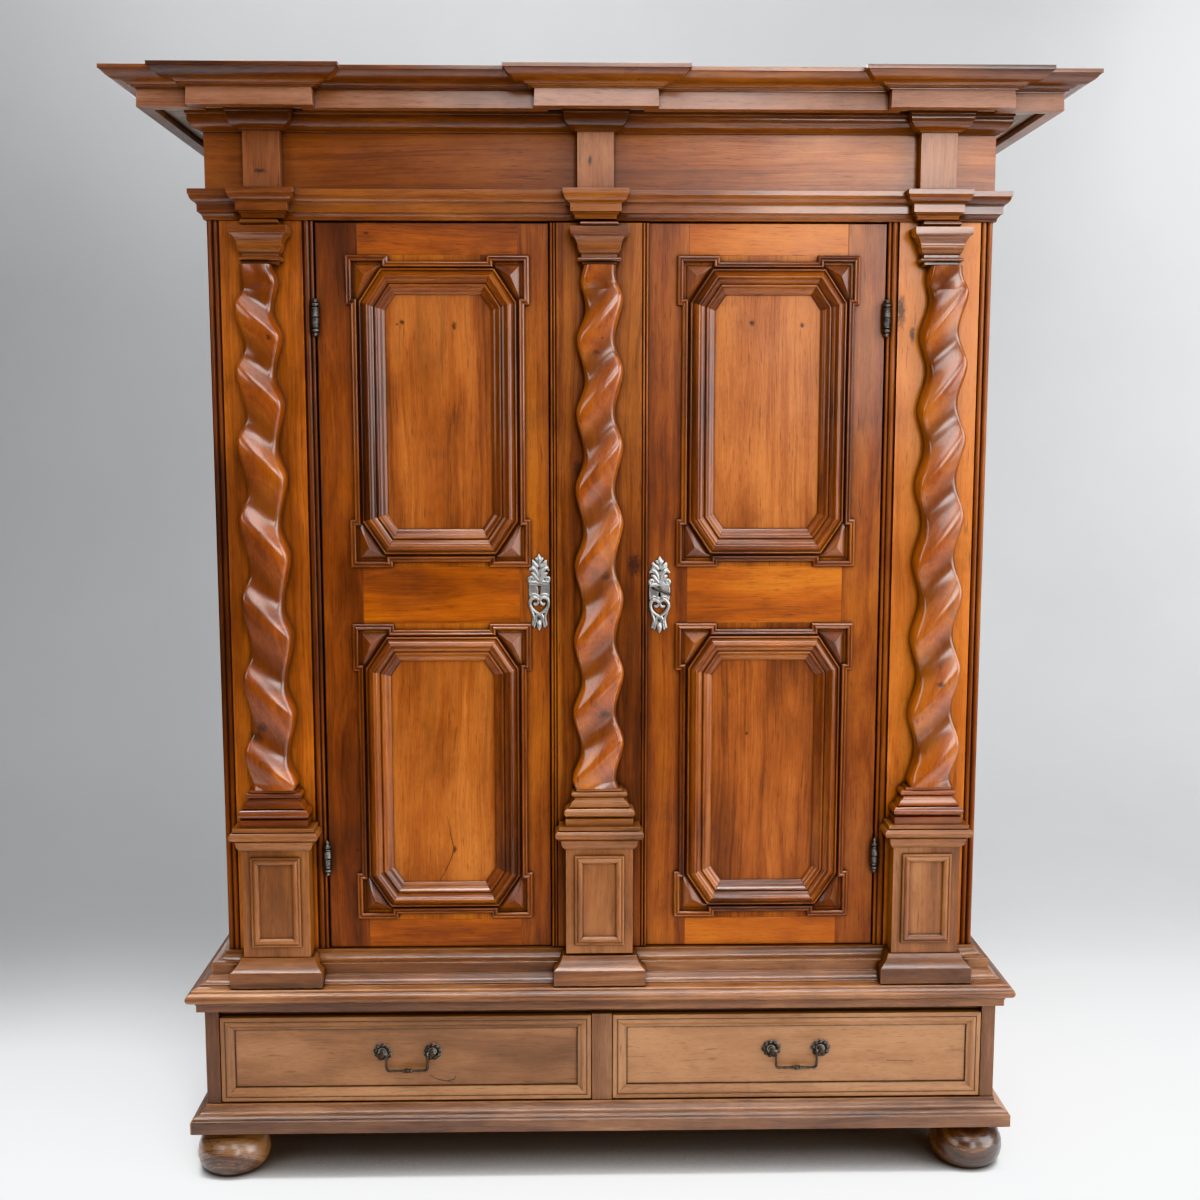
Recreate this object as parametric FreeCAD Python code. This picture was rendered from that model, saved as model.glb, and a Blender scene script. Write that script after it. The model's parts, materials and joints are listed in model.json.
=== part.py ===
import FreeCAD, Part
import math
import os

# Kas cupboard: a bun-footed base with two drawers, a two-door body with three
# half columns, and an entablature with a deep breaking cornice.
#
# All lengths are in millimetres, +Z up, the front looks towards -Y. Pieces are
# laid out with Y = 0 at the face of the body's front frame and moved back at
# the end, so that the origin is on the floor at the centre of the outer box.

V = FreeCAD.Vector
os.makedirs("parts", exist_ok=True)

# ---------------------------------------------------------------- dimensions
W = 781.0            # half width of the body
DEPTH = 560.0        # body front frame face to the back
Y_SHIFT = -190.0     # moves the front frame face to its place about the origin
XS = 671.0           # axis of the outer pedestals and capitals, each side
XSHAFT = 677.0       # axis of the outer twisted shafts
XC = -6.0            # axis of the middle column, which is on the right door
XEL, XEC, XER = -664.0, -13.0, 662.0   # axes of the breaks in the entablature
BREAK = 26.0         # how far each break stands forward

Z_PLINTH = 103.0     # underside of the base, top of the feet
Z_PLINTH_TOP = 158.0
Z_BASE_TOP = 414.0   # top of the base, where the body stands
Z_FLOOR = 475.0      # cupboard floor
Z_DOOR0, Z_DOOR1 = 478.0, 1962.0
Z_ARCH, Z_BODY_TOP = 1965.0, 2022.0
Z_SOFFIT = 2173.0
Z_CORONA0, Z_CORONA1 = 2160.0, 2193.0
Z_TOP = 2226.0
WB = 824.5           # half width of the drawer case
PB = 43.5            # how far the drawer case stands in front of the body

STILE_IN = 571.0     # inner edge of the body's front stiles
T_FRAME = 28.0       # thickness of the front frame and the doors behind Y = 0
DOOR_Y = 2.0         # face of the door frames
LD0, LD1 = -568.0, -107.0      # left door, hinge edge and free edge
RD0, RD1 = -104.0, 568.0       # right door, free edge and hinge edge
PIL0, PIL1 = -104.0, 93.0      # pilaster strip on the right door
PIL_Y = -5.0         # its face
LF0, LF1 = -486.0, -168.0      # left door, opening between its stiles
RF0, RF1 = 174.0, 492.0        # right door, opening between its stiles
RAIL_TOP, RAIL_MID1, RAIL_MID0, RAIL_BOT = 1900.0, 1278.0, 1162.0, 536.0

HINGE_X, HINGE_Y = 569.5, -8.0
HINGE_Z = (671.0, 1776.5)
KEY_X, KEY_Z = 118.0, 1234.0

DR_Z0, DR_Z1 = 160.0, 343.0    # drawer fronts
DR_OUT, DR_IN0, DR_IN1 = 794.5, -23.5, 21.5
BAIL_X, BAIL_Z, BAIL_Y = 407.0, 264.0, -48.5
POST = 52.0          # half the distance between a handle's two posts

NODES = {}


# ------------------------------------------------------------------- helpers
def box(x0, x1, y0, y1, z0, z1):
    return Part.makeBox(x1 - x0, y1 - y0, z1 - z0, V(x0, y0, z0))


def solid_of(faces):
    shell = Part.makeShell(faces)
    shell.sewShape()
    s = Part.Solid(shell.Shells[0] if shell.Shells else shell)
    if s.Volume < 0:
        s = Part.Solid(s.Shells[0].reversed())
    return s


def poly(points):
    out = []
    for p in points:
        if not out or (p - out[-1]).Length > 1e-6:
            out.append(p)
    if (out[0] - out[-1]).Length < 1e-6:
        out.pop()
    return Part.Face(Part.makePolygon(out + [out[0]]))


def prism(points, vec):
    return poly(points).extrude(vec)


def plan(points, z0, z1):
    return prism([V(x, y, z0) for x, y in points], V(0, 0, z1 - z0))


def bow(p0, p1, s, n=6):
    """Points of an arc from p0 to p1; s is the rise over the chord, to the left."""
    (x0, y0), (x1, y1) = p0, p1
    dx, dy = x1 - x0, y1 - y0
    c = math.hypot(dx, dy)
    h = s * c
    if abs(h) < 1e-9:
        return [p0, p1]
    r = (c * c / 4 + h * h) / (2 * h)
    mx, my = (x0 + x1) / 2, (y0 + y1) / 2
    nx, ny = -dy / c, dx / c
    cx, cy = mx + nx * (h - r), my + ny * (h - r)
    a0 = math.atan2(y0 - cy, x0 - cx)
    a1 = math.atan2(y1 - cy, x1 - cx)
    while a1 - a0 > math.pi:
        a1 -= 2 * math.pi
    while a1 - a0 < -math.pi:
        a1 += 2 * math.pi
    if abs(h) > c / 2 + 1e-9:
        a1 += 2 * math.pi if a1 < a0 else -2 * math.pi
    R = abs(r)
    pts = [(cx + R * math.cos(a0 + (a1 - a0) * i / n), cy + R * math.sin(a0 + (a1 - a0) * i / n)) for i in range(n + 1)]
    pts[0], pts[-1] = p0, p1
    return pts


def profile(*items):
    out = []
    for it in items:
        for p in (it if isinstance(it, list) else [it]):
            if not out or math.hypot(p[0] - out[-1][0], p[1] - out[-1][1]) > 1e-6:
                out.append(p)
    return out


def mitres(path, closed):
    n = len(path)
    segs = n if closed else n - 1
    nor = []
    for i in range(segs):
        (x0, y0), (x1, y1) = path[i], path[(i + 1) % n]
        L = math.hypot(x1 - x0, y1 - y0)
        nor.append(((y1 - y0) / L, -(x1 - x0) / L))
    out = []
    for i in range(n):
        if closed:
            a, b = nor[i - 1], nor[i]
        else:
            a, b = nor[max(i - 1, 0)], nor[min(i, segs - 1)]
        k = 1 + a[0] * b[0] + a[1] * b[1]
        out.append(((a[0] + b[0]) / k, (a[1] + b[1]) / k))
    return out, segs


def mitred(path, prof, place, closed=False, only=None):
    """Lengths of moulding along a path, cut to the mitre at each corner.

    prof holds (q, h): q along the path's outward side, h across the plane."""
    m, segs = mitres(path, closed)
    n = len(path)
    out = []
    for i in range(segs):
        if only is not None and i not in only:
            continue
        j = (i + 1) % n
        a = [place(path[i][0] + q * m[i][0], path[i][1] + q * m[i][1], h) for q, h in prof]
        b = [place(path[j][0] + q * m[j][0], path[j][1] + q * m[j][1], h) for q, h in prof]
        faces = [poly(a), poly(b)]
        for k in range(len(prof)):
            l = (k + 1) % len(prof)
            faces.append(poly([a[k], a[l], b[l], b[k]]))
        out.append(solid_of(faces))
    return out


def offset(path, q):
    m, _ = mitres(path, False)
    return [(p[0] + q * v[0], p[1] + q * v[1]) for p, v in zip(path, m)]


def up(a, b, h):
    return V(a, b, h)


def on_face(y):
    return lambda a, b, h: V(a, y - h, b)


def front_path(hw, r=BREAK):
    pts = [(-W, DEPTH), (-W, 0)]
    for c in (XEL, XEC, XER):
        pts += [(c - hw, 0), (c - hw, -r), (c + hw, -r), (c + hw, 0)]
    return pts + [(W, 0), (W, DEPTH)]


U_PATH = [(-W, DEPTH), (-W, 0), (W, 0), (W, DEPTH)]


def breaking(hw, prof, core=None):
    """A moulding run round the entablature: sides, straight runs and three breaks."""
    segs = mitred(front_path(hw), prof, up)
    out = [segs[0], segs[1]]
    for k, c in ((2, XEL), (6, XEC), (10, XER)):
        parts = segs[k:k + 3]
        if core:
            parts.append(box(c - hw, c + hw, -BREAK, 0, core[0], core[1]))
        s = parts[0].fuse(parts[1:]).removeSplitter()
        out += list(s.Solids)
        out.append(segs[k + 3])
    out.append(segs[14])
    return out


def stack(xc, levels):
    """A half block against the face Y = 0: levels of (half width, projection, z)."""
    levels = [l for i, l in enumerate(levels) if i == 0 or max(abs(a - b) for a, b in zip(l, levels[i - 1])) > 1e-6]
    rings = [[V(xc - hw, 0, z), V(xc - hw, -p, z), V(xc + hw, -p, z), V(xc + hw, 0, z)] for hw, p, z in levels]
    faces = [poly(rings[0]), poly(rings[-1])]
    for a, b in zip(rings, rings[1:]):
        for k in range(3):
            faces.append(poly([a[k], a[k + 1], b[k + 1], b[k]]))
    back = [r[0] for r in rings] + [r[3] for r in reversed(rings)]
    faces.append(poly(back))
    return solid_of(faces)


def curve_levels(hw0, p0, z0, hw1, p1, z1, s, n=5):
    """Levels between two sizes; s bows the outline outwards (+) or inwards (-)."""
    pts = bow((hw0, z0), (hw1, z1), s, n)
    out = []
    for i, (hw, z) in enumerate(pts):
        t = (hw - hw0) / (hw1 - hw0) if abs(hw1 - hw0) > 1e-9 else i / n
        out.append((hw, p0 + (hw - hw0) if abs(hw1 - hw0) < 1e-9 else p0 + (p1 - p0) * t, z))
    return out


def torus_levels(hw, p, z0, z1, n=6):
    """A half-round edge between z0 and z1 whose crown is at hw."""
    r = (z1 - z0) / 2
    zc = (z0 + z1) / 2
    return [(hw - r + r * math.cos(a), p - r + r * math.cos(a), zc + r * math.sin(a))
            for a in [-math.pi / 2 + math.pi * i / n for i in range(n + 1)]]


def cyl(x, y, z, r, length, direction):
    return Part.makeCylinder(r, length, V(x, y, z), direction)


def node(name, *shapes):
    solids = []
    for s in shapes:
        solids += list(s) if isinstance(s, (list, tuple)) else [s]
    NODES.setdefault(name, []).extend(solids)


def mirror_x(shapes):
    return [s.mirror(V(0, 0, 0), V(1, 0, 0)) for s in shapes]


# ---------------------------------------------------------------------- feet
def bun_foot(x, y):
    e = [
        Part.makeLine(V(0, 0, 0), V(44, 0, 0)),
        Part.Arc(V(44, 0, 0), V(70.5, 0, 15), V(75.5, 0, 38)).toShape(),
        Part.Arc(V(75.5, 0, 38), V(69.5, 0, 61), V(50, 0, 75)).toShape(),
        Part.makeLine(V(50, 0, 75), V(45, 0, 80)),
        Part.makeLine(V(45, 0, 80), V(45, 0, 92)),
        Part.makeLine(V(45, 0, 92), V(52, 0, 95)),
        Part.makeLine(V(52, 0, 95), V(52, 0, Z_PLINTH)),
        Part.makeLine(V(52, 0, Z_PLINTH), V(0, 0, Z_PLINTH)),
        Part.makeLine(V(0, 0, Z_PLINTH), V(0, 0, 0)),
    ]
    s = Part.Face(Part.Wire(e)).revolve(V(0, 0, 0), V(0, 0, 1), 360)
    s.translate(V(x, y, 0))
    return s


node("bun_feet", [bun_foot(x, y) for x in (-782, 782) for y in (1, DEPTH - 76)])

# ---------------------------------------------------------------------- base
plinth = profile(
    (PB, Z_PLINTH), (73, Z_PLINTH), (74, 104), (74, 128), (72.5, 130), (70, 130.5), (70, 134.5),
    (66, 136.5), bow((63.5, 138.5), (47, 157), 0.19, 7), (PB, Z_PLINTH_TOP))
node("plinth_moulding", mitred(U_PATH, plinth, up))

node("base_case_boards",
     box(-WB, -WB + 22, -17.5, DEPTH, 125, 392),
     box(WB - 22, WB, -17.5, DEPTH, 125, 392),
     box(-WB, WB, -PB, DEPTH, Z_PLINTH, 125),
     box(-WB + 22, WB - 22, DEPTH - 12, DEPTH, 125, 392))
node("drawer_case_frame",
     box(-WB, -796, -PB, -17.5, 125, 392),
     box(796, WB, -PB, -17.5, 125, 392),
     box(-22, 20, -PB, -17.5, 157, 346),
     box(-796, 796, -32, -17.5, 346, 392),
     box(-796, 796, -PB, -17.5, 125, 157))
node("drawer_partition", box(-11, 9, -17.5, DEPTH - 12, 125, 392))
node("drawer_runners",
     box(-802.5, -772, -12, DEPTH - 12, 140, 161.4),
     box(-42, -11, -12, DEPTH - 12, 140, 161.4),
     box(9, 40, -12, DEPTH - 12, 140, 161.4),
     box(772, 802.5, -12, DEPTH - 12, 140, 161.4))
surbase = profile(
    (PB, 361), (57.5, 361), (57.5, 375), (59, 376), (59, 380), (62, 381.5),
    bow((65, 382), (68, 403.5), -0.42, 8), (66.5, 404.5), (66.5, 408), bow((65, 410), (50, 413.5), -0.06, 3),
    (50, Z_BASE_TOP), (PB, Z_BASE_TOP))
node("surbase_moulding", mitred(U_PATH, surbase, up))
node("base_top_board", box(-WB, WB, -PB, DEPTH, 392, Z_BASE_TOP))

# ---------------------------------------------------------------------- body
node("body_sides",
     box(-W, -W + 22, T_FRAME, DEPTH, Z_BASE_TOP, Z_BODY_TOP),
     box(W - 22, W, T_FRAME, DEPTH, Z_BASE_TOP, Z_BODY_TOP))


def round_over(x0, x1, depth, n=8):
    """Plan points of a bead whose crown is level with the face, from x0 to x1."""
    c, r = (x0 + x1) / 2, abs(x1 - x0) / 2
    s = 1 if x1 > x0 else -1
    return [(c - s * r * math.cos(math.pi * i / n), depth - depth * math.sin(math.pi * i / n)) for i in range(n + 1)]


stile_plan = ([(-W, T_FRAME)] + round_over(-W, -770, 5.5) + [(-769, 5.5)] + round_over(-769, -758, 5.5)
              + [(-757, 5.5), (-756, 0), (-593.5, 0), (-592.5, 5)] + round_over(-591.5, -579.5, 5)
              + [(-578.5, 5)] + round_over(-578.5, -STILE_IN, 4, 6) + [(-STILE_IN, T_FRAME)])
left_stile = plan(stile_plan, Z_BASE_TOP, Z_BODY_TOP)
hinge_leaf_cuts = []
for z in HINGE_Z:
    hinge_leaf_cuts.append(box(-STILE_IN - 2.2, -STILE_IN + 1, -1, 26.2, z - 38.7, z - 0.8))
for c in hinge_leaf_cuts:
    left_stile = left_stile.cut(c)
node("front_frame",
     left_stile, mirror_x([left_stile]),
     box(-STILE_IN, STILE_IN, 0, T_FRAME, Z_ARCH, Z_BODY_TOP),
     box(-STILE_IN, STILE_IN, 0, T_FRAME, Z_BASE_TOP, Z_FLOOR - 23))
node("body_floor_and_top", plan(
    [(-759, DEPTH - 12), (-759, T_FRAME), (-STILE_IN, T_FRAME), (-STILE_IN, 0), (STILE_IN, 0), (STILE_IN, T_FRAME),
     (759, T_FRAME), (759, DEPTH - 12)], Z_FLOOR - 23, Z_FLOOR))
node("body_floor_and_top", box(-759, 759, T_FRAME, DEPTH - 12, Z_BODY_TOP - 22, Z_BODY_TOP))
BACK_N = 6
bw = 1518.0 / BACK_N
node("back_boards", [box(-759 + i * bw + 0.5, -759 + (i + 1) * bw - 0.5, DEPTH - 12, DEPTH, Z_BASE_TOP, Z_BODY_TOP)
                     for i in range(BACK_N)])
SHELF_Z = (930.0, 1450.0)
node("shelves", [box(-758.5, 758.5, 75, DEPTH - 12, z, z + 20) for z in SHELF_Z])
node("shelf_bearers", [box(s * 759 - (22 if s > 0 else 0), s * 759 + (0 if s > 0 else 22), 80, DEPTH - 14, z - 24, z)
                       for z in SHELF_Z for s in (-1, 1)])

# foot of the body: blocks under the three columns and a moulding between them
BLOCK = [(95, 64, Z_BASE_TOP), (95, 64, 444)] + curve_levels(95, 64, 446, 76, 45, 472, 0.10, 6)
blocks = [stack(x, BLOCK) for x in (-XS, XC, XS)]
node("pedestal_base_blocks", blocks)
foot_mould = profile(
    (0, Z_BASE_TOP), (49, Z_BASE_TOP), (49, 416), bow((47.5, 417.5), (34, 430), 0.12, 5), (30.5, 431), (29.5, 432),
    (29.5, 453.5), (27.5, 454), (27.5, 456), bow((28.5, 457), (6, 475), 0.30, 8), (0, 475))
side_foot = mitred(U_PATH, foot_mould, up, only=(0, 2))
front_foot = mitred(U_PATH, foot_mould, up, only=(1,))[0]
cut_at = [box(x - 70, x + 70, -60, 1, 410, 480) for x in (-XS, XC, XS)]
for b in blocks + cut_at:
    front_foot = front_foot.cut(b)
node("foot_moulding", side_foot, [s for s in front_foot.Solids if s.Volume > 500])


# ------------------------------------------------------------------- columns
def shaft(xc, hand=-1):
    """Half shaft with a single-start twist, tapering upwards, flat at the back."""
    z0, z1, pitch, zref, y_axis = 825.0, 1877.0, 151.3, 829.0, 4.0
    nz, na = 85, 13
    rows = []
    for i in range(nz):
        t = i / (nz - 1)
        z = z0 + (z1 - z0) * t
        r = 44.7 - 9.8 * t
        fade = min(1.0, (z - z0) / 30.0 + 0.35, (z1 - z) / 75.0)
        e = (10.0 - 0.8 * t) * fade
        r -= 4.0 * max(0.0, 1 - (z1 - z) / 70.0)
        a = 2 * math.pi * (z - zref) / pitch
        cx = xc - hand * e * math.cos(a)
        cy = y_axis - e * math.sin(a)
        a0 = math.acos(max(-1.0, min(1.0, cy / r)))
        row = []
        for k in range(na):
            q = -a0 + 2 * a0 * k / (na - 1)
            row.append(V(cx + r * math.sin(q), cy - r * math.cos(q), z))
        row[0] = V(row[0].x, 0, z)
        row[-1] = V(row[-1].x, 0, z)
        rows.append(row)
    surf = Part.BSplineSurface()
    surf.buildFromPolesMultsKnots(rows, [4] + [1] * (nz - 4) + [4], [4] + [1] * (na - 4) + [4],
                                  list(range(nz - 2)), list(range(na - 2)), False, False, 3, 3)
    front = surf.toShape()
    edges = sorted(front.Edges, key=lambda e: e.Length)
    ends, longs = edges[:2], edges[2:]
    bottom, top = sorted(ends, key=lambda e: e.BoundBox.ZMin)

    def cap(edge, z):
        a, b = edge.valueAt(edge.FirstParameter), edge.valueAt(edge.LastParameter)
        return Part.Face(Part.Wire([edge, Part.makeLine(b, a)]))

    a0, a1 = rows[0][0], rows[0][-1]
    b0, b1 = rows[-1][0], rows[-1][-1]
    back = Part.Face(Part.Wire(Part.__sortEdges__([longs[0], longs[1], Part.makeLine(a0, a1), Part.makeLine(b0, b1)])))
    return solid_of([front, back, cap(bottom, z0), cap(top, z1)])


left_shaft = shaft(-XSHAFT)
right_shaft = left_shaft.mirror(V(0, 0, 0), V(1, 0, 0))
node("left_column_shaft", left_shaft)
node("right_column_shaft", right_shaft)

CAP_TOP = 1965.0


def capital_levels(top):
    return ([(31, 26, 1877), (34, 30, 1879), (34, 30, 1884)] + torus_levels(43, 39, 1884, 1892)
            + [(35.5, 31, 1892.5), (35.5, 31, 1898)] + curve_levels(35.5, 31, 1898, 43, 38, 1915, -0.12, 5)
            + [(43.8, 39, 1916), (43.8, 39, 1920)] + curve_levels(45, 40, 1921, 56, 51, 1935, 0.10, 5)
            + [(57, 52, 1937), (57.5, 52, 1950), (35, 30, 1950.5), (35, 30, 1953)]
            + torus_levels(38, 33, 1953, top, 6))


BASE_LEVELS = ([(69.5, 47, 748), (69.5, 47, 763), (66, 44, 764.5)] + torus_levels(72.5, 50, 765, 785)
               + [(64, 43, 786)] + curve_levels(61, 44, 787, 51, 40, 802, -0.10, 5) + [(51, 40, 806)]
               + torus_levels(57.5, 43, 807, 819, 5) + [(47, 41, 819.5), (47, 41, 824.6)])
CAP_LEVELS = ([(72, 45, 699)] + curve_levels(72, 45, 700, 78, 51, 714, -0.12, 5) + [(79, 52, 715), (79, 52, 719)]
              + torus_levels(91, 60, 720, 740) + [(83, 56, 740.5), (83, 56, 748)])


def pedestal(xc, z0):
    die = stack(xc, [(69, 42, z0), (69, 42, 699)])
    cap = stack(xc, CAP_LEVELS)
    zb, zt = 495.0, 685.0
    path = [(xc - 51, zb), (xc - 51, zt), (xc + 51, zt), (xc + 51, zb)]
    prof = profile((0, 0), (0, 4.5), (1.5, 6), (4, 6), (5, 4.5), bow((6, 5.5), (12, 7), 0.2, 4),
                   bow((12, 7), (17.5, 1.5), 0.12, 4), (18, 0))
    frame = mitred(path, prof, on_face(-42.0), closed=True)
    return [die, cap] + frame


for s in (-1, 1):
    node("column_capitals", stack(s * XS, capital_levels(CAP_TOP)))
    node("column_bases", stack(s * XS, BASE_LEVELS))
    node("column_pedestals", pedestal(s * XS, 472.0))

# --------------------------------------------------------------- entablature
arch = profile(
    (0, Z_ARCH), (4.3, 1965.8), bow((5, 1967), (10.3, 1977), 0.14, 5), (10.3, 1979), (14.2, 1979.5), (14.5, 1994),
    (16, 1994.5), (16, 1996), bow((17.5, 1997), (27, 2011), -0.14, 6), (28.7, 2012), (28.7, Z_BODY_TOP), (0, Z_BODY_TOP))
node("architrave_moulding", breaking(36.0, arch, core=(Z_ARCH, Z_BODY_TOP)))
node("frieze_boards",
     box(-W, W, 0, 24, Z_BODY_TOP, 2208),
     box(-W, -W + 24, 24, DEPTH, Z_BODY_TOP, 2208),
     box(W - 24, W, 24, DEPTH, Z_BODY_TOP, 2208),
     box(-W + 24, W - 24, DEPTH - 20, DEPTH, Z_BODY_TOP, 2208))
node("frieze_blocks", [box(c - 36, c + 36, -BREAK, 0, Z_BODY_TOP, Z_SOFFIT) for c in (XEL, XEC, XER)])
bed = profile(
    (0, 2133), (4.5, 2133.5), bow((5, 2135.5), (26, 2163.5), -0.20, 9), (28.4, 2165), (28.4, Z_SOFFIT), (0, Z_SOFFIT))
node("bed_moulding", breaking(36.0, bed))
corona = profile((74, Z_CORONA0), (100, Z_CORONA0), (100.5, 2161), (99, Z_CORONA1), (74, Z_CORONA1))
node("corona_boards", breaking(18.0, corona))
crown = profile(
    (74, Z_CORONA1), (101, Z_CORONA1), (101, 2195), (106, 2195.5), (107, 2198), (109, 2198.5),
    bow((112, 2198.5), (130, 2203), 0.16, 5), bow((130, 2203), (150, 2217), -0.10, 5), (151, 2218.5), (154, 2218.5),
    (154, Z_TOP), (74, Z_TOP))
node("crown_moulding", breaking(21.0, crown))
cpath = front_path(18.0)
edge = offset(cpath, 74.0)
front_edge = [p for p in edge if p[1] <= 0.01]
soffit_front = plan([(-W - 74, 0)] + front_edge + [(W + 74, 0)], Z_SOFFIT, Z_SOFFIT + 12)
node("cornice_boards", soffit_front,
     box(-W - 74, -W, 0, DEPTH, Z_SOFFIT, Z_SOFFIT + 12),
     box(W, W + 74, 0, DEPTH, Z_SOFFIT, Z_SOFFIT + 12),
     plan(edge, 2208, 2220))

# --------------------------------------------------------------------- doors
small = profile((0, 0), (0, 5.5), (1.5, 7), (4, 7.5), (5, 6), (6, 6.5), bow((7, 7.5), (11, 8), 0.3, 4), (12, 6.5), (12, 0))
bolection = profile(
    (0, 0), (0, 10), bow((0.5, 10.5), (4.5, 11), 0.35, 4), (5.5, 10), (7, 11.5),
    bow((7, 11.5), (14, 19), 0.10, 4), bow((14, 19), (19, 20), 0.35, 4), (20, 18), bow((20, 18), (29, 12.5), -0.12, 4),
    (30, 11), (31, 12.5), bow((31, 12.5), (36, 13), 0.3, 4), bow((36, 13), (45, 6), -0.10, 4), (47, 5.5), (51, 1.5),
    (51, 0))


def panel_mouldings(cx, zb, zt):
    """Crossetted outer moulding, eight-sided inner moulding and four corner points."""
    so, st, si, sh = 182.5, 172.5, 97.5, 97.0
    zs, zu = zb + 11, zt - 12
    L, l, i = cx - so, cx - st, cx - si
    R, r, j = cx + so, cx + st, cx + si
    outer = [(L, zb), (L, zb + sh), (l, zb + sh), (l, zt - sh), (L, zt - sh), (L, zt), (i, zt), (i, zu), (j, zu), (j, zt),
             (R, zt), (R, zt - sh), (r, zt - sh), (r, zb + sh), (R, zb + sh), (R, zb), (j, zb), (j, zs), (i, zs), (i, zb)]
    out = mitred(outer, small, on_face(DOOR_Y), closed=True)
    mo, mz0, mz1, ch, cv = 156.5, zb + 27, zt - 26, 44.0, 66.0
    octo = [(cx - mo, mz0 + cv), (cx - mo, mz1 - cv), (cx - mo + ch, mz1), (cx + mo - ch, mz1),
            (cx + mo, mz1 - cv), (cx + mo, mz0 + cv), (cx + mo - ch, mz0), (cx - mo + ch, mz0)]
    main = mitred(octo, bolection, on_face(DOOR_Y), closed=True)
    pts = []
    for sx in (-1, 1):
        for sz, zc in ((-1, zb), (1, zt)):
            X = cx + sx * so
            base = [(17, 17), (72, 17), (72, 24.5), (29, 88), (17, 88)]
            ring = [V(X - sx * a, DOOR_Y, zc - sz * b) for a, b in base]
            apex = V(X - sx * 38, DOOR_Y - 13, zc - sz * 40)
            faces = [poly(ring)] + [poly([ring[k], ring[(k + 1) % 5], apex]) for k in range(5)]
            pts.append(solid_of(faces))
    return out + main + pts


def door_boards(x_out0, x_out1, f0, f1, s0, s1):
    """Two stiles (x_out0..f0 and f1..x_out1), three rails and two tongued panels."""
    yb = T_FRAME
    stiles = [box(x_out0, f0, DOOR_Y, yb, Z_DOOR0, Z_DOOR1), box(f1, x_out1, DOOR_Y, yb, Z_DOOR0, Z_DOOR1)]
    rails = [box(f0, f1, DOOR_Y, yb, RAIL_TOP, Z_DOOR1), box(f0, f1, DOOR_Y, yb, RAIL_MID0, RAIL_MID1),
             box(f0, f1, DOOR_Y, yb, Z_DOOR0, RAIL_BOT)]
    panels = []
    for z0, z1 in ((RAIL_BOT, RAIL_MID0), (RAIL_MID1, RAIL_TOP)):
        tongue = box(f0 - 8, f1 + 8, 9, 17, z0 - 8, z1 + 8)
        p = box(f0, f1, DOOR_Y, 17, z0, z1).fuse(tongue).removeSplitter()
        panels.append(p)
        stiles = [s.cut(tongue) for s in stiles]
        rails = [s.cut(tongue) for s in rails]
    return stiles, rails, panels


def knuckle_finial(x, y, z, sgn):
    """Turned end of a hinge barrel: two rings and a small urn."""
    prof = [(0, 0), (7, 0), (7, 3), (5.5, 4), (5.5, 6), (7.4, 8), (7.4, 10.5), (5, 12.5), (3.4, 15), (4.3, 18), (3.2, 21.5),
            (0, 24)]
    f = poly([V(a, 0, sgn * b) for a, b in prof])
    s = f.revolve(V(0, 0, 0), V(0, 0, 1), 360)
    s.translate(V(x, y, z))
    return s


def hinge(x, z, side):
    """side -1 for the left: the lower half with the pin is on the frame."""
    y = HINGE_Y
    low = cyl(x, y, z - 15, 7, 14.75, V(0, 0, 1))
    low = low.fuse([knuckle_finial(x, y, z - 15, -1), cyl(x, y, z - 3, 3.0, 13, V(0, 0, 1))])
    upk = cyl(x, y, z + 0.25, 7, 14.75, V(0, 0, 1)).fuse(knuckle_finial(x, y, z + 15, 1))
    upk = upk.cut(cyl(x, y, z - 1, 3.06, 12.5, V(0, 0, 1)))
    xo = x + side * 2.5
    fl = box(min(xo - 1, xo + 1), max(xo - 1, xo + 1), y + 2, 26, z - 38.5, z - 1)
    fl = fl.cut(cyl(x, y, z - 40, 6.9, 60, V(0, 0, 1)))
    # the frame leaf stays below the door's half, and keeps to its side of the pin
    low = low.fuse(box(xo - 1, xo + 1, y + 4, 26, z - 15, z - 1).fuse(box(xo - 1, xo + 1, 0, 26, z - 38.5, z - 1)))
    xi = x - side * 2.5
    upk = upk.fuse(box(xi - 1, xi + 1, y + 4, 28, z + 1, z + 15).fuse(box(xi - 1, xi + 1, DOOR_Y, 28, z + 1, z + 38.5)))
    return low, upk


left_hinges = [hinge(-HINGE_X, z, -1) for z in HINGE_Z]
right_hinges = [hinge(HINGE_X, z, 1) for z in HINGE_Z]
node("hinge_pintles", [h[0] for h in left_hinges + right_hinges])

# left door
st, rl, pn = door_boards(LD0, LD1, LF0, LF1, None, None)
for _, h in left_hinges:
    st = [s.cut(h) for s in st]
node("left_door_stiles", st)
node("left_door_rails", rl)
node("left_door_panels", pn)
LCX, RCX = (LF0 + LF1) / 2, (RF0 + RF1) / 2
node("left_door_mouldings", panel_mouldings(LCX, 540, 1161), panel_mouldings(LCX, 1277.5, 1899))
node("left_door_hinges", [h[1] for h in left_hinges])

# bolt on the inside of the left door, at its top, held by two staples
BOLT_X = -138.0
node("left_door_bolt",
     box(BOLT_X - 6, BOLT_X + 6, 28.3, 34.3, 1790, 1960).fuse(cyl(BOLT_X, 34, 1815, 5, 16, V(0, 1, 0))).removeSplitter())


def staple(x, z):
    return box(x - 11, x + 11, 28, 38, z, z + 14).cut(box(x - 6.5, x + 6.5, 27, 34.8, z - 1, z + 15))


keeper = box(-130, -112, 28, 48, 1246, 1278).cut(box(-131, -111, 27, 44, 1251, 1273))
node("left_door_staples", staple(BOLT_X, 1850), staple(BOLT_X, 1930), keeper)

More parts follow.
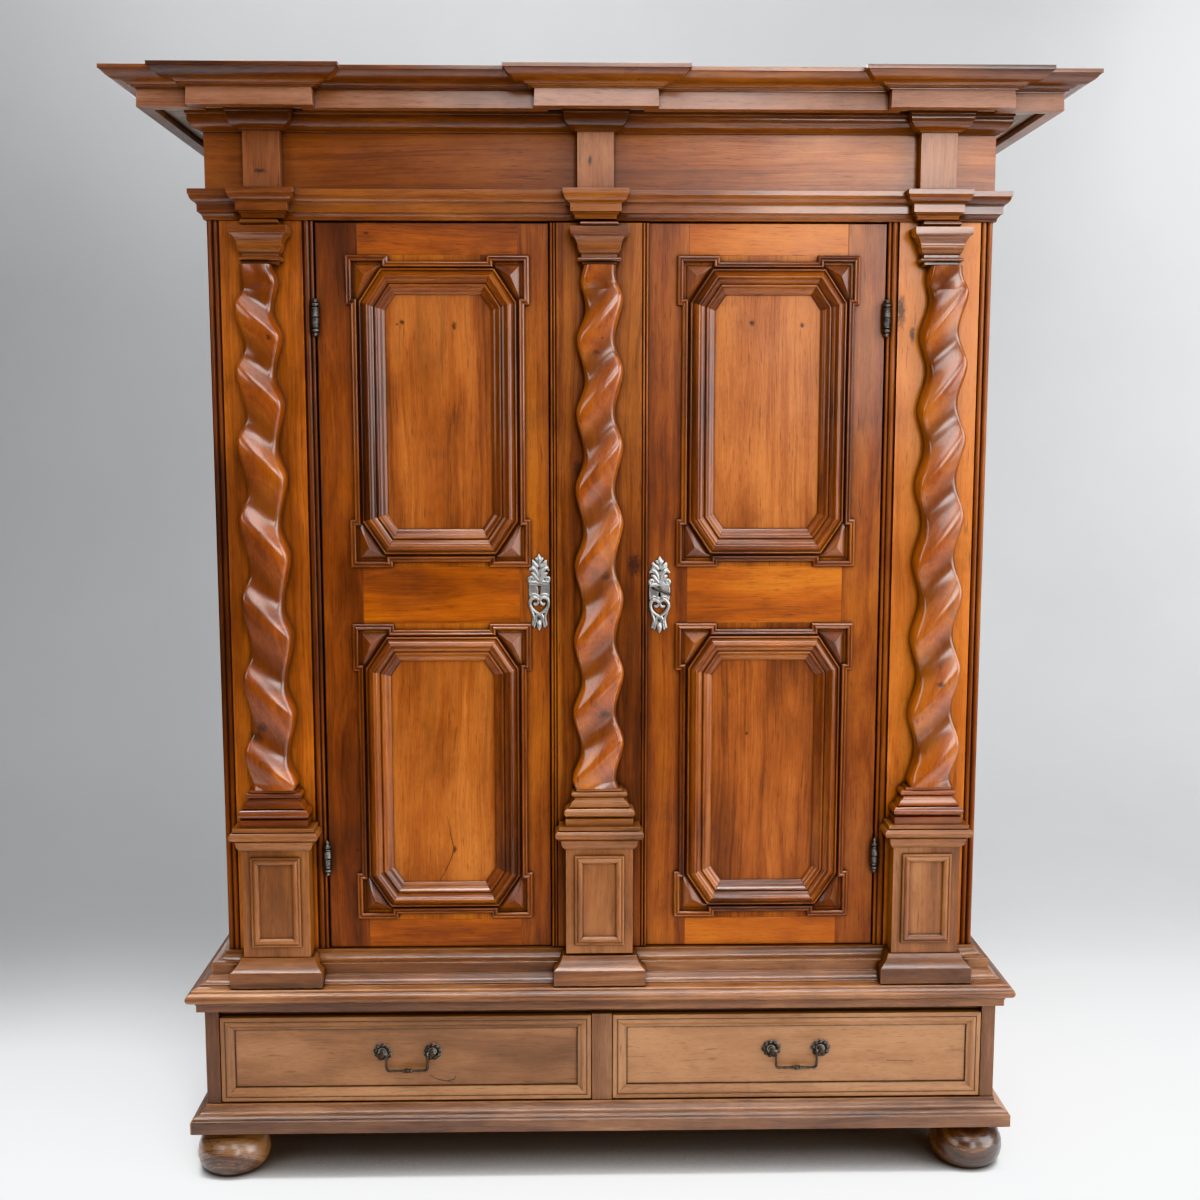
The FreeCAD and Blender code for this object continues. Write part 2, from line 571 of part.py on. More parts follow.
# right door with its pilaster
st, rl, pn = door_boards(PIL1, RD1, RF0, RF1, None, None)
for _, h in right_hinges:
    st = [s.cut(h) for s in st]
lock_way = cyl(KEY_X, -3, KEY_Z, 4.2, 40, V(0, 1, 0)).fuse(box(KEY_X - 2.6, KEY_X + 2.6, -3, 37, KEY_Z - 18.5, KEY_Z))
st = [s.cut(lock_way) for s in st]
node("right_door_stiles", st)
node("right_door_rails", rl)
node("right_door_panels", pn)
node("right_door_mouldings", panel_mouldings(RCX, 540, 1161), panel_mouldings(RCX, 1277.5, 1899))
node("right_door_hinges", [h[1] for h in right_hinges])
pil_plan = ([(PIL0, 12)] + round_over(PIL0, -98.5, 4, 6) + [(-98, 4)] + round_over(-98, -92.5, 4, 6)
            + [(-91.5, 4), (-91, 0), (80, 0), (80.5, 4)] + round_over(81, 87, 4, 6) + [(87.5, 4)]
            + round_over(87.5, PIL1, 4, 6) + [(PIL1, 12)])
pil_plan = [(x, y + (PIL_Y if y < 12 else 0)) for x, y in pil_plan]
node("pilaster_board", plan(pil_plan, Z_DOOR0, Z_DOOR1))
node("pilaster_backing", box(PIL0, PIL1, 12, T_FRAME, Z_DOOR0, Z_DOOR1))
on_board = box(-200, 200, PIL_Y, 5, 400, 2000)   # the board that the middle column is planted on
middle_shaft = right_shaft.copy()
middle_shaft.translate(V(XC - XSHAFT, 0, 0))
node("pilaster_shaft", middle_shaft.cut(on_board))
node("pilaster_capital", stack(XC, capital_levels(Z_DOOR1)).cut(on_board))
node("pilaster_pedestal", [s.cut(on_board) for s in [stack(XC, BASE_LEVELS)] + pedestal(XC, 476.0)])

# lock, bolt and key
lock = box(64, 156, T_FRAME, 50, 1206, 1276).cut(box(66, 154, T_FRAME - 1, 48, 1208, 1274))
lock = lock.cut(box(60, 70, 30.5, 40.5, 1255.5, 1268.5))
guide = box(-97, -83, T_FRAME, 44, 1250, 1274).cut(box(-98, -82, 30.5, 40.5, 1255.5, 1268.5))
node("lock_case", lock, guide)
node("lock_bolt", box(-103, 138, 31, 40, 1256, 1268))
ang = math.radians(-21.0)


def key():
    # built with the bit and bow in the X-Y plane, then turned about its own axis
    shank = cyl(0, -46, 0, 3.1, 91, V(0, 1, 0))
    collar = cyl(0, -12, 0, 4.6, 4, V(0, 1, 0)).fuse(cyl(0, -44, 0, 4.2, 5, V(0, 1, 0)))
    outer = cyl(8.5, -60, -2.4, 13, 4.8, V(0, 0, 1)).fuse(
        [cyl(-8.5, -60, -2.4, 13, 4.8, V(0, 0, 1)), cyl(0, -50, -2.4, 8, 4.8, V(0, 0, 1))])
    outer = outer.cut(cyl(8.5, -61, -4, 8, 8, V(0, 0, 1)).fuse([cyl(-8.5, -61, -4, 8, 8, V(0, 0, 1)),
                                                               box(-3, 3, -66, -58, -4, 4)]))
    bit = box(0, 15.5, 33, 44, -1.4, 1.4).cut(box(7, 16, 37.5, 39.5, -3, 3))
    s = shank.fuse([collar, outer, bit]).removeSplitter()
    s.rotate(V(0, 0, 0), V(0, 1, 0), 21.0)
    s.translate(V(KEY_X, 0, KEY_Z))
    return s


node("key", key())


def escutcheon(x, z0):
    """Pierced plate with leafy ends; z0 is the height of its lowest point."""
    half = [(0, 0), (3.5, 4), (5, 11), (7.5, 10), (9.5, 13), (12.5, 10), (14.5, 13), (14, 20), (11, 27), (13, 33), (18.5, 41),
            (21, 50), (21, 60), (19.5, 68), (20.5, 70), (20.5, 96), (21, 106), (17, 109), (14.5, 107), (16, 118),
            (21, 127), (20, 132), (15.5, 131), (14, 136), (17, 143), (15, 148), (10.5, 147), (8, 144), (6, 151), (2.5, 158),
            (0, 160)]
    pts = half + [(-a, b) for a, b in reversed(half[1:-1])]
    s = prism([V(x + a, DOOR_Y, z0 + b) for a, b in pts], V(0, -3, 0))
    kz = KEY_Z
    heart = [(0, 37), (8, 44), (12.5, 53), (12.5, 58), (6, 52), (0, 49.5), (-6, 52), (-12.5, 58), (-12.5, 53), (-8, 44)]
    s = s.cut(prism([V(x + a, DOOR_Y + 1, z0 + b) for a, b in heart], V(0, -6, 0)))
    hole = cyl(x, -6, kz, 5.0, 12, V(0, 1, 0)).fuse(box(x - 2.9, x + 2.9, -6, 6, kz - 18.5, kz))
    return s.cut(hole)


node("left_escutcheon", escutcheon(-128.2, 1145.5))
node("right_escutcheon", escutcheon(KEY_X, 1140.0))


# ------------------------------------------------------------------- drawers
def drawer(x0, x1, name, bx):
    front = box(x0, x1, -36, -14, DR_Z0, DR_Z1)
    path = [(x0, DR_Z0), (x0, DR_Z1), (x1, DR_Z1), (x1, DR_Z0)]
    prof = profile((0, 0), (0, 7), (1, 8), (8.5, 8.5), (9.5, 7), (10.5, 7.5), bow((11, 8), (20, 7), 0.12, 4),
                   bow((20, 7), (28, 2.5), -0.10, 4), (29.5, 2.5), (29.5, 0))
    frame = mitred(path, prof, on_face(-36.0), closed=True)
    node(name + "_front", front, frame)
    a, b = x0 + 4.5, x1 - 4.5
    node(name + "_box",
         box(a, a + 12, -14, 510, 162, 302), box(b - 12, b, -14, 510, 162, 302),
         box(a + 12, b - 12, 498, 510, 162, 302), box(a + 12, b - 12, -14, 498, 164, 173))
    plates = []
    for s in (-1, 1):
        x = bx + s * POST
        prof = [(0, 0), (20, 0), (20.5, 1.2), (17, 3.2), (12, 2.6), (9, 4.5), (6, 5), (5, 6), (4.6, 8), (4.6, 16.5), (6, 17.5),
                (6, 19.5), (4, 21), (0, 21.5)]
        f = poly([V(a1, -b1, 0) for a1, b1 in prof]).revolve(V(0, 0, 0), V(0, 1, 0), 360)
        f.translate(V(x, -36, BAIL_Z))
        f = f.cut(cyl(x - 8, BAIL_Y, BAIL_Z, 2.75, 16, V(1, 0, 0)))
        plates.append(f)
    node(name + "_handle_plates", plates)
    # square drop bail with a turned middle; its ends are pins in the posts
    z0 = BAIL_Z - 37
    leg = POST - 9.5
    bail = cyl(bx - leg, BAIL_Y, z0, 3.0, 2 * leg, V(1, 0, 0))
    bits = [cyl(bx - 5, BAIL_Y, z0, 4.6, 2.6, V(1, 0, 0)), cyl(bx + 2.4, BAIL_Y, z0, 4.6, 2.6, V(1, 0, 0)),
            cyl(bx - 1.5, BAIL_Y, z0, 5.2, 3.0, V(1, 0, 0))]
    for s in (-1, 1):
        x = bx + s * leg
        bits.append(cyl(x, BAIL_Y, z0, 2.9, 37, V(0, 0, 1)))
        bits.append(Part.makeSphere(3.05, V(x, BAIL_Y, z0)))
        bits.append(Part.makeSphere(3.05, V(x, BAIL_Y, BAIL_Z)))
        bits.append(cyl(x, BAIL_Y, BAIL_Z, 2.7, 15.0, V(s, 0, 0)))
    node(name + "_bail", bail.fuse(bits).removeSplitter())


drawer(-DR_OUT, DR_IN0, "left_drawer", -BAIL_X)
drawer(DR_IN1, DR_OUT, "right_drawer", BAIL_X)

# -------------------------------------------------------------------- export
for name, solids in NODES.items():
    flat = []
    for s in solids:
        flat += list(s.Solids)
    shape = flat[0] if len(flat) == 1 else Part.makeCompound(flat)
    shape.translate(V(0, Y_SHIFT, 0))
    bad = [i for i, s in enumerate(flat) if not s.isValid() or s.Volume <= 0]
    if bad:
        print("check", name, "solids", bad)
    shape.exportStep("parts/" + name + ".step")
print(len(NODES), "nodes,", sum(len(v) for v in NODES.values()), "pieces")
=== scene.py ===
import json
import math
import random
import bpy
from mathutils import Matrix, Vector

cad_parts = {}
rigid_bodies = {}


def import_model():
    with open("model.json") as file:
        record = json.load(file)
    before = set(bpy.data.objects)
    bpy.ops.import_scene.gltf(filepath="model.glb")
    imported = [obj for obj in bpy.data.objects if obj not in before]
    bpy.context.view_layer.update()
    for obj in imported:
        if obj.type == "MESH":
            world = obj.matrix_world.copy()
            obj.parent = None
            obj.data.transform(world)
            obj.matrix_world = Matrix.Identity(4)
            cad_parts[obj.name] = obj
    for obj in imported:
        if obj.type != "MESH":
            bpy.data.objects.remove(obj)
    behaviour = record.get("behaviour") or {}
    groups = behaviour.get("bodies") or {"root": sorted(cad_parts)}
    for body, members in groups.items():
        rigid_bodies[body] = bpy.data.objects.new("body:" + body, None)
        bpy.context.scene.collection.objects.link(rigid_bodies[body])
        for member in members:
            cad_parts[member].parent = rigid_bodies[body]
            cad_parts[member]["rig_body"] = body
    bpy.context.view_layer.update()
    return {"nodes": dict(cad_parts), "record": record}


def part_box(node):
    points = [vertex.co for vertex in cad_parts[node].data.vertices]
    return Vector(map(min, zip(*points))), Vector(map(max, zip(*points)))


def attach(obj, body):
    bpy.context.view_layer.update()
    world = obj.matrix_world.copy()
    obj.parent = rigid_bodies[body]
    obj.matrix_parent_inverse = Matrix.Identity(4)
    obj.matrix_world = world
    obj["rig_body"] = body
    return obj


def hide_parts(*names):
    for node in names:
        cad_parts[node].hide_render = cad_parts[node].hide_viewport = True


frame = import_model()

import zlib

import bmesh
import bpy
import numpy as np
from mathutils import Matrix, Vector

scene = bpy.context.scene
NODE = frame["nodes"]
BODY = {n: o["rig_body"] for n, o in NODE.items()}
SLOT = {s["node"]: s["material_slot"] for s in frame["record"]["subparts"]}


def rng(name):
    return random.Random(zlib.crc32(name.encode()))


# ------------------------------------------------------------------ materials
class Tree:
    def __init__(self, name):
        self.mat = bpy.data.materials.new(name)
        self.mat.use_nodes = True
        self.t = self.mat.node_tree
        self.t.nodes.clear()

    def node(self, kind, **props):
        n = self.t.nodes.new(kind)
        for k, v in props.items():
            setattr(n, k, v)
        return n

    def put(self, socket, v):
        if v is None:
            return
        if isinstance(v, bpy.types.NodeSocket):
            self.t.links.new(v, socket)
        elif socket.type == "RGBA" and len(v) == 3:
            socket.default_value = (*v, 1.0)
        else:
            socket.default_value = v

    def math(self, op, a, b=None, c=None, clamp=False):
        n = self.node("ShaderNodeMath", operation=op, use_clamp=clamp)
        for i, v in enumerate((a, b, c)):
            self.put(n.inputs[i], v)
        return n.outputs[0]

    def vmath(self, op, a, b=None, scale=None):
        n = self.node("ShaderNodeVectorMath", operation=op)
        self.put(n.inputs[0], a)
        self.put(n.inputs[1], b)
        if scale is not None:
            self.put(n.inputs[3], scale)
        return n.outputs[1] if op in ("LENGTH", "DISTANCE", "DOT_PRODUCT") else n.outputs[0]

    def noise(self, vec, scale=1.0, detail=2.0, rough=0.5, dist=0.0, colour=False):
        n = self.node("ShaderNodeTexNoise", noise_dimensions="3D")
        self.put(n.inputs["Vector"], vec)
        self.put(n.inputs["Scale"], scale)
        self.put(n.inputs["Detail"], detail)
        self.put(n.inputs["Roughness"], rough)
        self.put(n.inputs["Distortion"], dist)
        return n.outputs["Color"] if colour else n.outputs["Fac"]

    def smooth(self, v, a, b, lo=0.0, hi=1.0):
        n = self.node("ShaderNodeMapRange", interpolation_type="SMOOTHSTEP")
        for i, x in enumerate((v, a, b, lo, hi)):
            self.put(n.inputs[i], x)
        return n.outputs[0]

    def mix(self, fac, a, b, mode="MIX"):
        n = self.node("ShaderNodeMix", data_type="RGBA", blend_type=mode, clamp_factor=True)
        self.put(n.inputs[0], fac)
        self.put(n.inputs[6], a)
        self.put(n.inputs[7], b)
        return n.outputs[2]

    def ramp(self, fac, stops):
        n = self.node("ShaderNodeValToRGB")
        e = n.color_ramp.elements
        while len(e) > 1:
            e.remove(e[-1])
        for i, (p, c) in enumerate(stops):
            x = e[0] if i == 0 else e.new(p)
            x.position = p
            x.color = (*c, 1.0)
        self.put(n.inputs[0], fac)
        return n.outputs[0]

    def attribute(self, name):
        return self.node("ShaderNodeAttribute", attribute_name=name, attribute_type="GEOMETRY").outputs["Vector"]

    def split(self, v):
        n = self.node("ShaderNodeSeparateXYZ")
        self.put(n.inputs[0], v)
        return n.outputs

    def join(self, x, y, z):
        n = self.node("ShaderNodeCombineXYZ")
        for i, v in enumerate((x, y, z)):
            self.put(n.inputs[i], v)
        return n.outputs[0]

    def ao(self, distance, inside=False, samples=6):
        n = self.node("ShaderNodeAmbientOcclusion", samples=samples, inside=inside)
        n.inputs["Distance"].default_value = distance
        return n.outputs["AO"]

    def bump(self, height, strength, distance, normal=None):
        n = self.node("ShaderNodeBump")
        n.inputs["Strength"].default_value = strength
        n.inputs["Distance"].default_value = distance
        self.put(n.inputs["Height"], height)
        if normal is not None:
            self.put(n.inputs["Normal"], normal)
        return n.outputs[0]

    def finish(self, colour, rough, normal=None, metallic=0.0, coat=0.0, coat_rough=0.1, ior=1.5, spec=0.5):
        p = self.node("ShaderNodeBsdfPrincipled")
        self.put(p.inputs["Base Color"], colour)
        self.put(p.inputs["Roughness"], rough)
        p.inputs["Metallic"].default_value = metallic
        p.inputs["IOR"].default_value = ior
        p.inputs["Specular IOR Level"].default_value = spec
        p.inputs["Coat Weight"].default_value = coat
        p.inputs["Coat Roughness"].default_value = coat_rough
        if normal is not None:
            self.put(p.inputs["Normal"], normal)
        o = self.node("ShaderNodeOutputMaterial")
        self.t.links.new(p.outputs[0], o.inputs[0])
        return self.mat


KNOTS = [  # x, z, half width, half height, in the row frame: knots, plugged nail holes, dark figure
    (-0.666, 2.0565, 0.013, 0.005), (-0.024, 2.078, 0.004, 0.010), (-0.3988, 1.7685, 0.005, 0.006),
    (-0.409, 1.764, 0.003, 0.003), (-0.2954, 1.7608, 0.005, 0.009), (0.3009, 1.7675, 0.006, 0.007),
    (0.4014, 1.7637, 0.005, 0.006), (-0.5082, 0.6869, 0.004, 0.004), (-0.3072, 0.6866, 0.005, 0.009),
    (0.0652, 1.2816, 0.016, 0.026), (-0.0484, 1.4744, 0.010, 0.020), (0.600, 1.79, 0.010, 0.035),
    (-0.4668, 1.9416, 0.006, 0.003), (0.45, 0.745, 0.004, 0.004), (0.30, 0.93, 0.003, 0.004),
    (0.624, 1.745, 0.006, 0.020),
]
SHAFT_KNOTS = [(0.0072, 1.2613, 0.011, 0.010), (-0.0107, 1.7075, 0.007, 0.006), (-0.704, 0.9349, 0.020, 0.014),
               (-0.692, 0.953, 0.014, 0.012), (0.004, 0.978, 0.013, 0.009),
               (-0.655, 1.735, 0.005, 0.006), (0.0, 1.735, 0.003, 0.003), (0.69, 1.04, 0.010, 0.006)]
CRACKS = [  # x0, z0, x1, z1, half width
    (-0.3209, 0.7560, -0.3150, 0.7200, 0.0008), (-0.3150, 0.7200, -0.3085, 0.6900, 0.0012),
    (-0.3085, 0.6850, -0.3150, 0.6650, 0.0014), (-0.3150, 0.6650, -0.3265, 0.6400, 0.0012),
    (-0.3265, 0.6400, -0.3380, 0.6200, 0.0009),
    (-0.505, 1.20, -0.498, 1.05, 0.0007),
]
DRAWER_CRACKS = [(-0.3611, 0.2117, -0.3440, 0.2020, 0.0012), (-0.3440, 0.2020, -0.3257, 0.1982, 0.0017),
                 (-0.3257, 0.1982, -0.3110, 0.2020, 0.0018), (-0.3110, 0.2020, -0.3069, 0.2086, 0.0012),
                 (-0.3257, 0.1982, -0.312, 0.1955, 0.0010), (0.60, 0.235, 0.655, 0.233, 0.0008)]


def walnut(name, dark, mid, light, rough=0.36, coat=0.35, coat_rough=0.16, contrast=1.0, crevice_shade=0.85, wear=0.35,
           knots=(), cracks=(), bump=1.0, specks=0.6, spec=0.5, broad_shade=0.35, vary=0.34, waves=0.32, hidden=None, gap_shadows=(), quirk_shadows=(), fade=None, carving_shade_amount=0.0):
    t = Tree(name)
    co = t.attribute("wood_co")
    rnd = t.attribute("wood_rnd")
    obj = t.node("ShaderNodeTexCoord").outputs["Object"]
    rx, ry, rz = t.split(rnd)
    # slow wandering of the grain
    wander = t.noise(t.vmath("MULTIPLY", co, (1.4, 5.0, 5.0)), detail=3.0, rough=0.5, colour=True)
    wander = t.vmath("SUBTRACT", wander, (0.5, 0.5, 0.5))
    cw = t.vmath("ADD", co, t.vmath("MULTIPLY", wander, (0.0, 0.050, 0.050)))
    x, y, z = t.split(cw)
    r = t.math("SQRT", t.math("ADD", t.math("MULTIPLY", y, y), t.math("MULTIPLY", z, z)))
    rings = t.noise(t.join(t.math("MULTIPLY", x, 1.1), t.math("MULTIPLY", r, 95.0), t.math("MULTIPLY", rx, 40.0)),
                    detail=4.0, rough=0.68)
    wide = t.noise(t.join(t.math("MULTIPLY", x, 0.7), t.math("MULTIPLY", r, 17.0), t.math("MULTIPLY", ry, 40.0)),
                   detail=2.0, rough=0.5)
    fibre = t.noise(t.vmath("MULTIPLY", cw, (9.0, 420.0, 420.0)), detail=3.0, rough=0.65)
    pores = t.noise(t.vmath("MULTIPLY", cw, (50.0, 900.0, 900.0)), detail=1.0)
    cloud = t.noise(t.vmath("MULTIPLY", co, (2.6, 8.0, 8.0)), detail=4.0, rough=0.62)
    fleck = t.smooth(t.noise(t.vmath("MULTIPLY", cw, (17.0, 230.0, 230.0)), detail=2.0), 0.62, 0.74)
    f = t.math("MULTIPLY_ADD", t.math("SUBTRACT", rings, 0.5), 1.20 * contrast, 0.5)
    f = t.math("MULTIPLY_ADD", t.math("SUBTRACT", wide, 0.5), 1.20 * contrast, f)
    f = t.math("MULTIPLY_ADD", t.math("SUBTRACT", fibre, 0.5), 0.55 * contrast, f)
    f = t.math("MULTIPLY_ADD", t.math("SUBTRACT", cloud, 0.5), 1.45, f)
    f = t.math("MULTIPLY_ADD", t.math("SUBTRACT", rz, 0.5), vary, f, clamp=True)
    colour = t.ramp(f, [(0.05, dark), (0.30, tuple(0.55 * a + 0.45 * b for a, b in zip(dark, mid))), (0.52, mid), (0.95, light)])
    if hidden:
        other = t.ramp(f, [(0.05, hidden[0]), (0.52, hidden[1]), (0.95, hidden[2])])
        oz = t.math("ABSOLUTE", t.split(obj)[hidden[4]])
        inside = None
        for za, zb in hidden[3]:
            k = t.math("MULTIPLY", t.math("GREATER_THAN", oz, za), t.math("LESS_THAN", oz, zb))
            inside = k if inside is None else t.math("ADD", inside, k)
        colour = t.mix(inside, colour, other)
    if fade:
        # painted shade: the board is darkened towards its low-x end, for the light and sheen that fall unevenly along
        # it
        k = t.smooth(t.split(obj)[0], fade[0], fade[1], fade[2], 0.0)
        colour = t.mix(k, colour, tuple(0.35 * c for c in mid))
    streak = t.smooth(rings, 0.56, 0.72)
    colour = t.mix(t.math("MULTIPLY", streak, 0.42 * contrast), colour, tuple(0.6 * c for c in dark))
    pore = t.smooth(pores, 0.58, 0.70)
    colour = t.mix(t.math("MULTIPLY", pore, 0.30), colour, tuple(0.35 * c for c in dark))
    colour = t.mix(t.math("MULTIPLY", fleck, 0.50), colour, tuple(0.5 * c for c in dark))
    # old varnish gone brown in places
    stain = t.smooth(t.noise(obj, scale=4.3, detail=5.0, rough=0.68), 0.52, 0.76)
    colour = t.mix(t.math("MULTIPLY", stain, 0.40), colour, tuple(0.8 * c for c in dark))
    mark = None
    if knots or cracks:
        fuzz = t.math("MULTIPLY_ADD", t.noise(obj, scale=170.0, detail=3.0, rough=0.6), 1.5, -0.75)
    for kx, kz, kw, kh in knots:
        d = t.vmath("MULTIPLY", t.vmath("SUBTRACT", obj, (kx, 0, kz)), (1 / kw, 0, 1 / kh))
        k = t.smooth(t.math("ADD", t.vmath("LENGTH", d), fuzz), 0.25, 1.25, 1.0, 0.0)
        mark = k if mark is None else t.math("MAXIMUM", mark, k)
    for x0, z0, x1, z1, w in cracks:
        d = Vector((x1 - x0, 0, z1 - z0))
        p = t.vmath("MULTIPLY", t.vmath("SUBTRACT", obj, (x0, 0, z0)), (1, 0, 1))
        along = t.math("DIVIDE", t.vmath("DOT_PRODUCT", p, tuple(d)), d.length_squared, clamp=True)
        off = t.vmath("LENGTH", t.vmath("SUBTRACT", p, t.vmath("SCALE", tuple(d), scale=along)))
        k = t.smooth(t.math("MULTIPLY_ADD", fuzz, 0.0006, off), 0.3 * w, 1.2 * w, 1.0, 0.0)
        mark = k if mark is None else t.math("MAXIMUM", mark, k)
    if mark is not None:
        colour = t.mix(t.math("MULTIPLY", mark, 0.85), colour, (0.016, 0.006, 0.004))
    if specks:
        v = t.node("ShaderNodeTexVoronoi", feature="F1")
        t.put(v.inputs["Vector"], obj)
        v.inputs["Scale"].default_value = 13.0
        s = t.smooth(v.outputs["Distance"], 0.012, 0.024, 1.0, 0.0)
        pick = t.math("GREATER_THAN", t.split(v.outputs["Color"])[0], 0.66)
        colour = t.mix(t.math("MULTIPLY", t.math("MULTIPLY", s, pick), specks), colour, (0.014, 0.006, 0.004))
    for x0, z0, x1, z1, w in gap_shadows:
        # painted shadow: dark bands beside the door joints and the bead quirks, widening the shadow in the gaps
        p = t.vmath("ABSOLUTE", t.vmath("SUBTRACT", obj, ((x0 + x1) / 2, 0, (z0 + z1) / 2)))
        px, _, pz = t.split(p)
        if x0 == x1:
            a, b, half = px, pz, abs(z1 - z0) / 2
        else:
            a, b, half = pz, px, abs(x1 - x0) / 2
        a = t.math("MULTIPLY_ADD", t.math("SUBTRACT", t.noise(obj, scale=60.0, detail=3.0), 0.5), 0.0018, a)
        k = t.math("MULTIPLY", t.smooth(a, 0.55 * w, w, 1.0, 0.0), t.math("LESS_THAN", b, half))
        colour = t.mix(t.math("MULTIPLY", k, 0.93), colour, (0.006, 0.003, 0.002))
    for xc, zc, hx, hz, w in quirk_shadows:
        # painted shade: dark lines in the quirks of the mitred frame
        p = t.vmath("SUBTRACT", t.vmath("ABSOLUTE", t.vmath("SUBTRACT", obj, (xc, 0, zc))), (hx, 0, hz))
        px, _, pz = t.split(p)
        a = t.math("ABSOLUTE", t.math("MAXIMUM", px, pz))
        a = t.math("MULTIPLY_ADD", t.math("SUBTRACT", t.noise(obj, scale=80.0, detail=3.0), 0.5), 0.0012, a)
        colour = t.mix(t.math("MULTIPLY", t.smooth(a, 0.4 * w, w, 1.0, 0.0), 0.85), colour, (0.012, 0.006, 0.003))
    if carving_shade_amount:
        # painted shade: the hollows of the carving are darkened where shade falls
        k = t.math("ADD", t.split(t.attribute("carving_shade"))[0], t.math("MULTIPLY", t.math("SUBTRACT", t.noise(obj, scale=26.0, detail=3.0), 0.5), 0.22))
        colour = t.mix(t.math("MULTIPLY", t.smooth(k, 0.35, 1.05), carving_shade_amount), colour, tuple(0.22 * c for c in mid))
    near = t.ao(0.012)
    broken = t.noise(obj, scale=34.0, detail=3.0, rough=0.6)
    # painted shade: the mask is high where the ao finds other surfaces within 12 mm
    crevice_shade_mask = t.smooth(near, 0.30, 0.93, 1.0, 0.0)
    crevice_shade_mask = t.math("MULTIPLY", crevice_shade_mask, t.math("MULTIPLY_ADD", broken, 0.9, 0.60), clamp=True)
    # painted shade: surfaces with other parts within 55 mm, such as beside the shafts and under the cornice, are
    # darkened
    broad_shade_mask = t.smooth(t.ao(0.055, samples=4), 0.35, 1.0, 1.0, 0.0)
    colour = t.mix(t.math("MULTIPLY", broad_shade_mask, broad_shade), colour, tuple(0.30 * c for c in mid))
    # painted shade: creases, joints and recesses darkened towards near black
    colour = t.mix(t.math("MULTIPLY", crevice_shade_mask, crevice_shade), colour, (0.012, 0.004, 0.002))
    edge = t.smooth(t.ao(0.0022, inside=True, samples=4), 0.35, 0.95, 1.0, 0.0)
    rub = t.smooth(t.noise(obj, scale=24.0, detail=4.0, rough=0.7), 0.42, 0.62)
    free = t.smooth(near, 0.80, 0.97)
    edge = t.math("MULTIPLY", t.math("MULTIPLY", edge, rub), free)
    colour = t.mix(t.math("MULTIPLY", edge, wear), colour, tuple(min(1, 1.15 * c + 0.02) for c in light))
    rg = t.math("MULTIPLY_ADD", t.math("SUBTRACT", t.noise(obj, scale=9.0, detail=3.0), 0.5), 0.24, rough)
    rg = t.math("MULTIPLY_ADD", crevice_shade_mask, 0.28, rg, clamp=True)
    rg = t.math("MULTIPLY_ADD", pore, 0.10, rg)
    h = t.math("MULTIPLY_ADD", fibre, 0.5, t.math("MULTIPLY", pores, -0.6))
    h = t.math("MULTIPLY_ADD", rings, 0.35, h)
    nrm = t.bump(h, 0.25 * bump, 0.0004)
    swell = t.noise(t.vmath("MULTIPLY", obj, (30.0, 30.0, 19.0)), detail=3.0)
    nrm = t.bump(swell, waves * bump, 0.0010, nrm)
    return t.finish(colour, rg, nrm, coat=coat, coat_rough=coat_rough, spec=spec)


def iron(name, base=(0.070, 0.060, 0.052), bright=(0.42, 0.39, 0.35), rough=0.40, rust=0.5, metal=0.85, rubbed=0.6):
    t = Tree(name)
    obj = t.node("ShaderNodeTexCoord").outputs["Object"]
    a = t.noise(obj, scale=300.0, detail=4.0, rough=0.7)
    b = t.noise(obj, scale=70.0, detail=3.0)
    colour = t.ramp(a, [(0.3, tuple(0.5 * c for c in base)), (0.6, base), (0.85, tuple(2.0 * c for c in base))])
    colour = t.mix(t.math("MULTIPLY", t.smooth(b, 0.52, 0.70), rust), colour, (0.085, 0.036, 0.016))
    edge = t.smooth(t.ao(0.0018, inside=True, samples=4), 0.40, 0.95, 1.0, 0.0)
    colour = t.mix(t.math("MULTIPLY", edge, rubbed), colour, bright)
    # painted shade: creases and recesses of the ironwork darkened by ao
    crevice_shade_mask = t.smooth(t.ao(0.005), 0.20, 0.85, 1.0, 0.0)
    colour = t.mix(t.math("MULTIPLY", crevice_shade_mask, 0.8), colour, (0.008, 0.006, 0.005))
    rg = t.math("MULTIPLY_ADD", b, 0.35, rough - 0.15, clamp=True)
    return t.finish(colour, rg, t.bump(a, 0.5, 0.0006), metallic=metal)


def pewter(name):
    t = Tree(name)
    obj = t.node("ShaderNodeTexCoord").outputs["Object"]
    a = t.noise(obj, scale=420.0, detail=4.0, rough=0.7)
    b = t.noise(obj, scale=70.0, detail=4.0, rough=0.6)
    colour = t.ramp(a, [(0.25, (0.26, 0.255, 0.245)), (0.55, (0.43, 0.42, 0.405)), (0.85, (0.60, 0.59, 0.57))])
    colour = t.mix(t.math("MULTIPLY", t.smooth(b, 0.50, 0.70), 0.5), colour, (0.22, 0.21, 0.19))
    # painted shade: recesses between the ribs of the plate darkened by ao
    crevice_shade_mask = t.smooth(t.ao(0.0045), 0.30, 0.92, 1.0, 0.0)
    colour = t.mix(t.math("MULTIPLY", crevice_shade_mask, 0.90), colour, (0.016, 0.014, 0.011))
    rg = t.math("MULTIPLY_ADD", b, 0.24, 0.20, clamp=True)
    return t.finish(colour, rg, t.bump(a, 0.25, 0.0003), metallic=0.92)
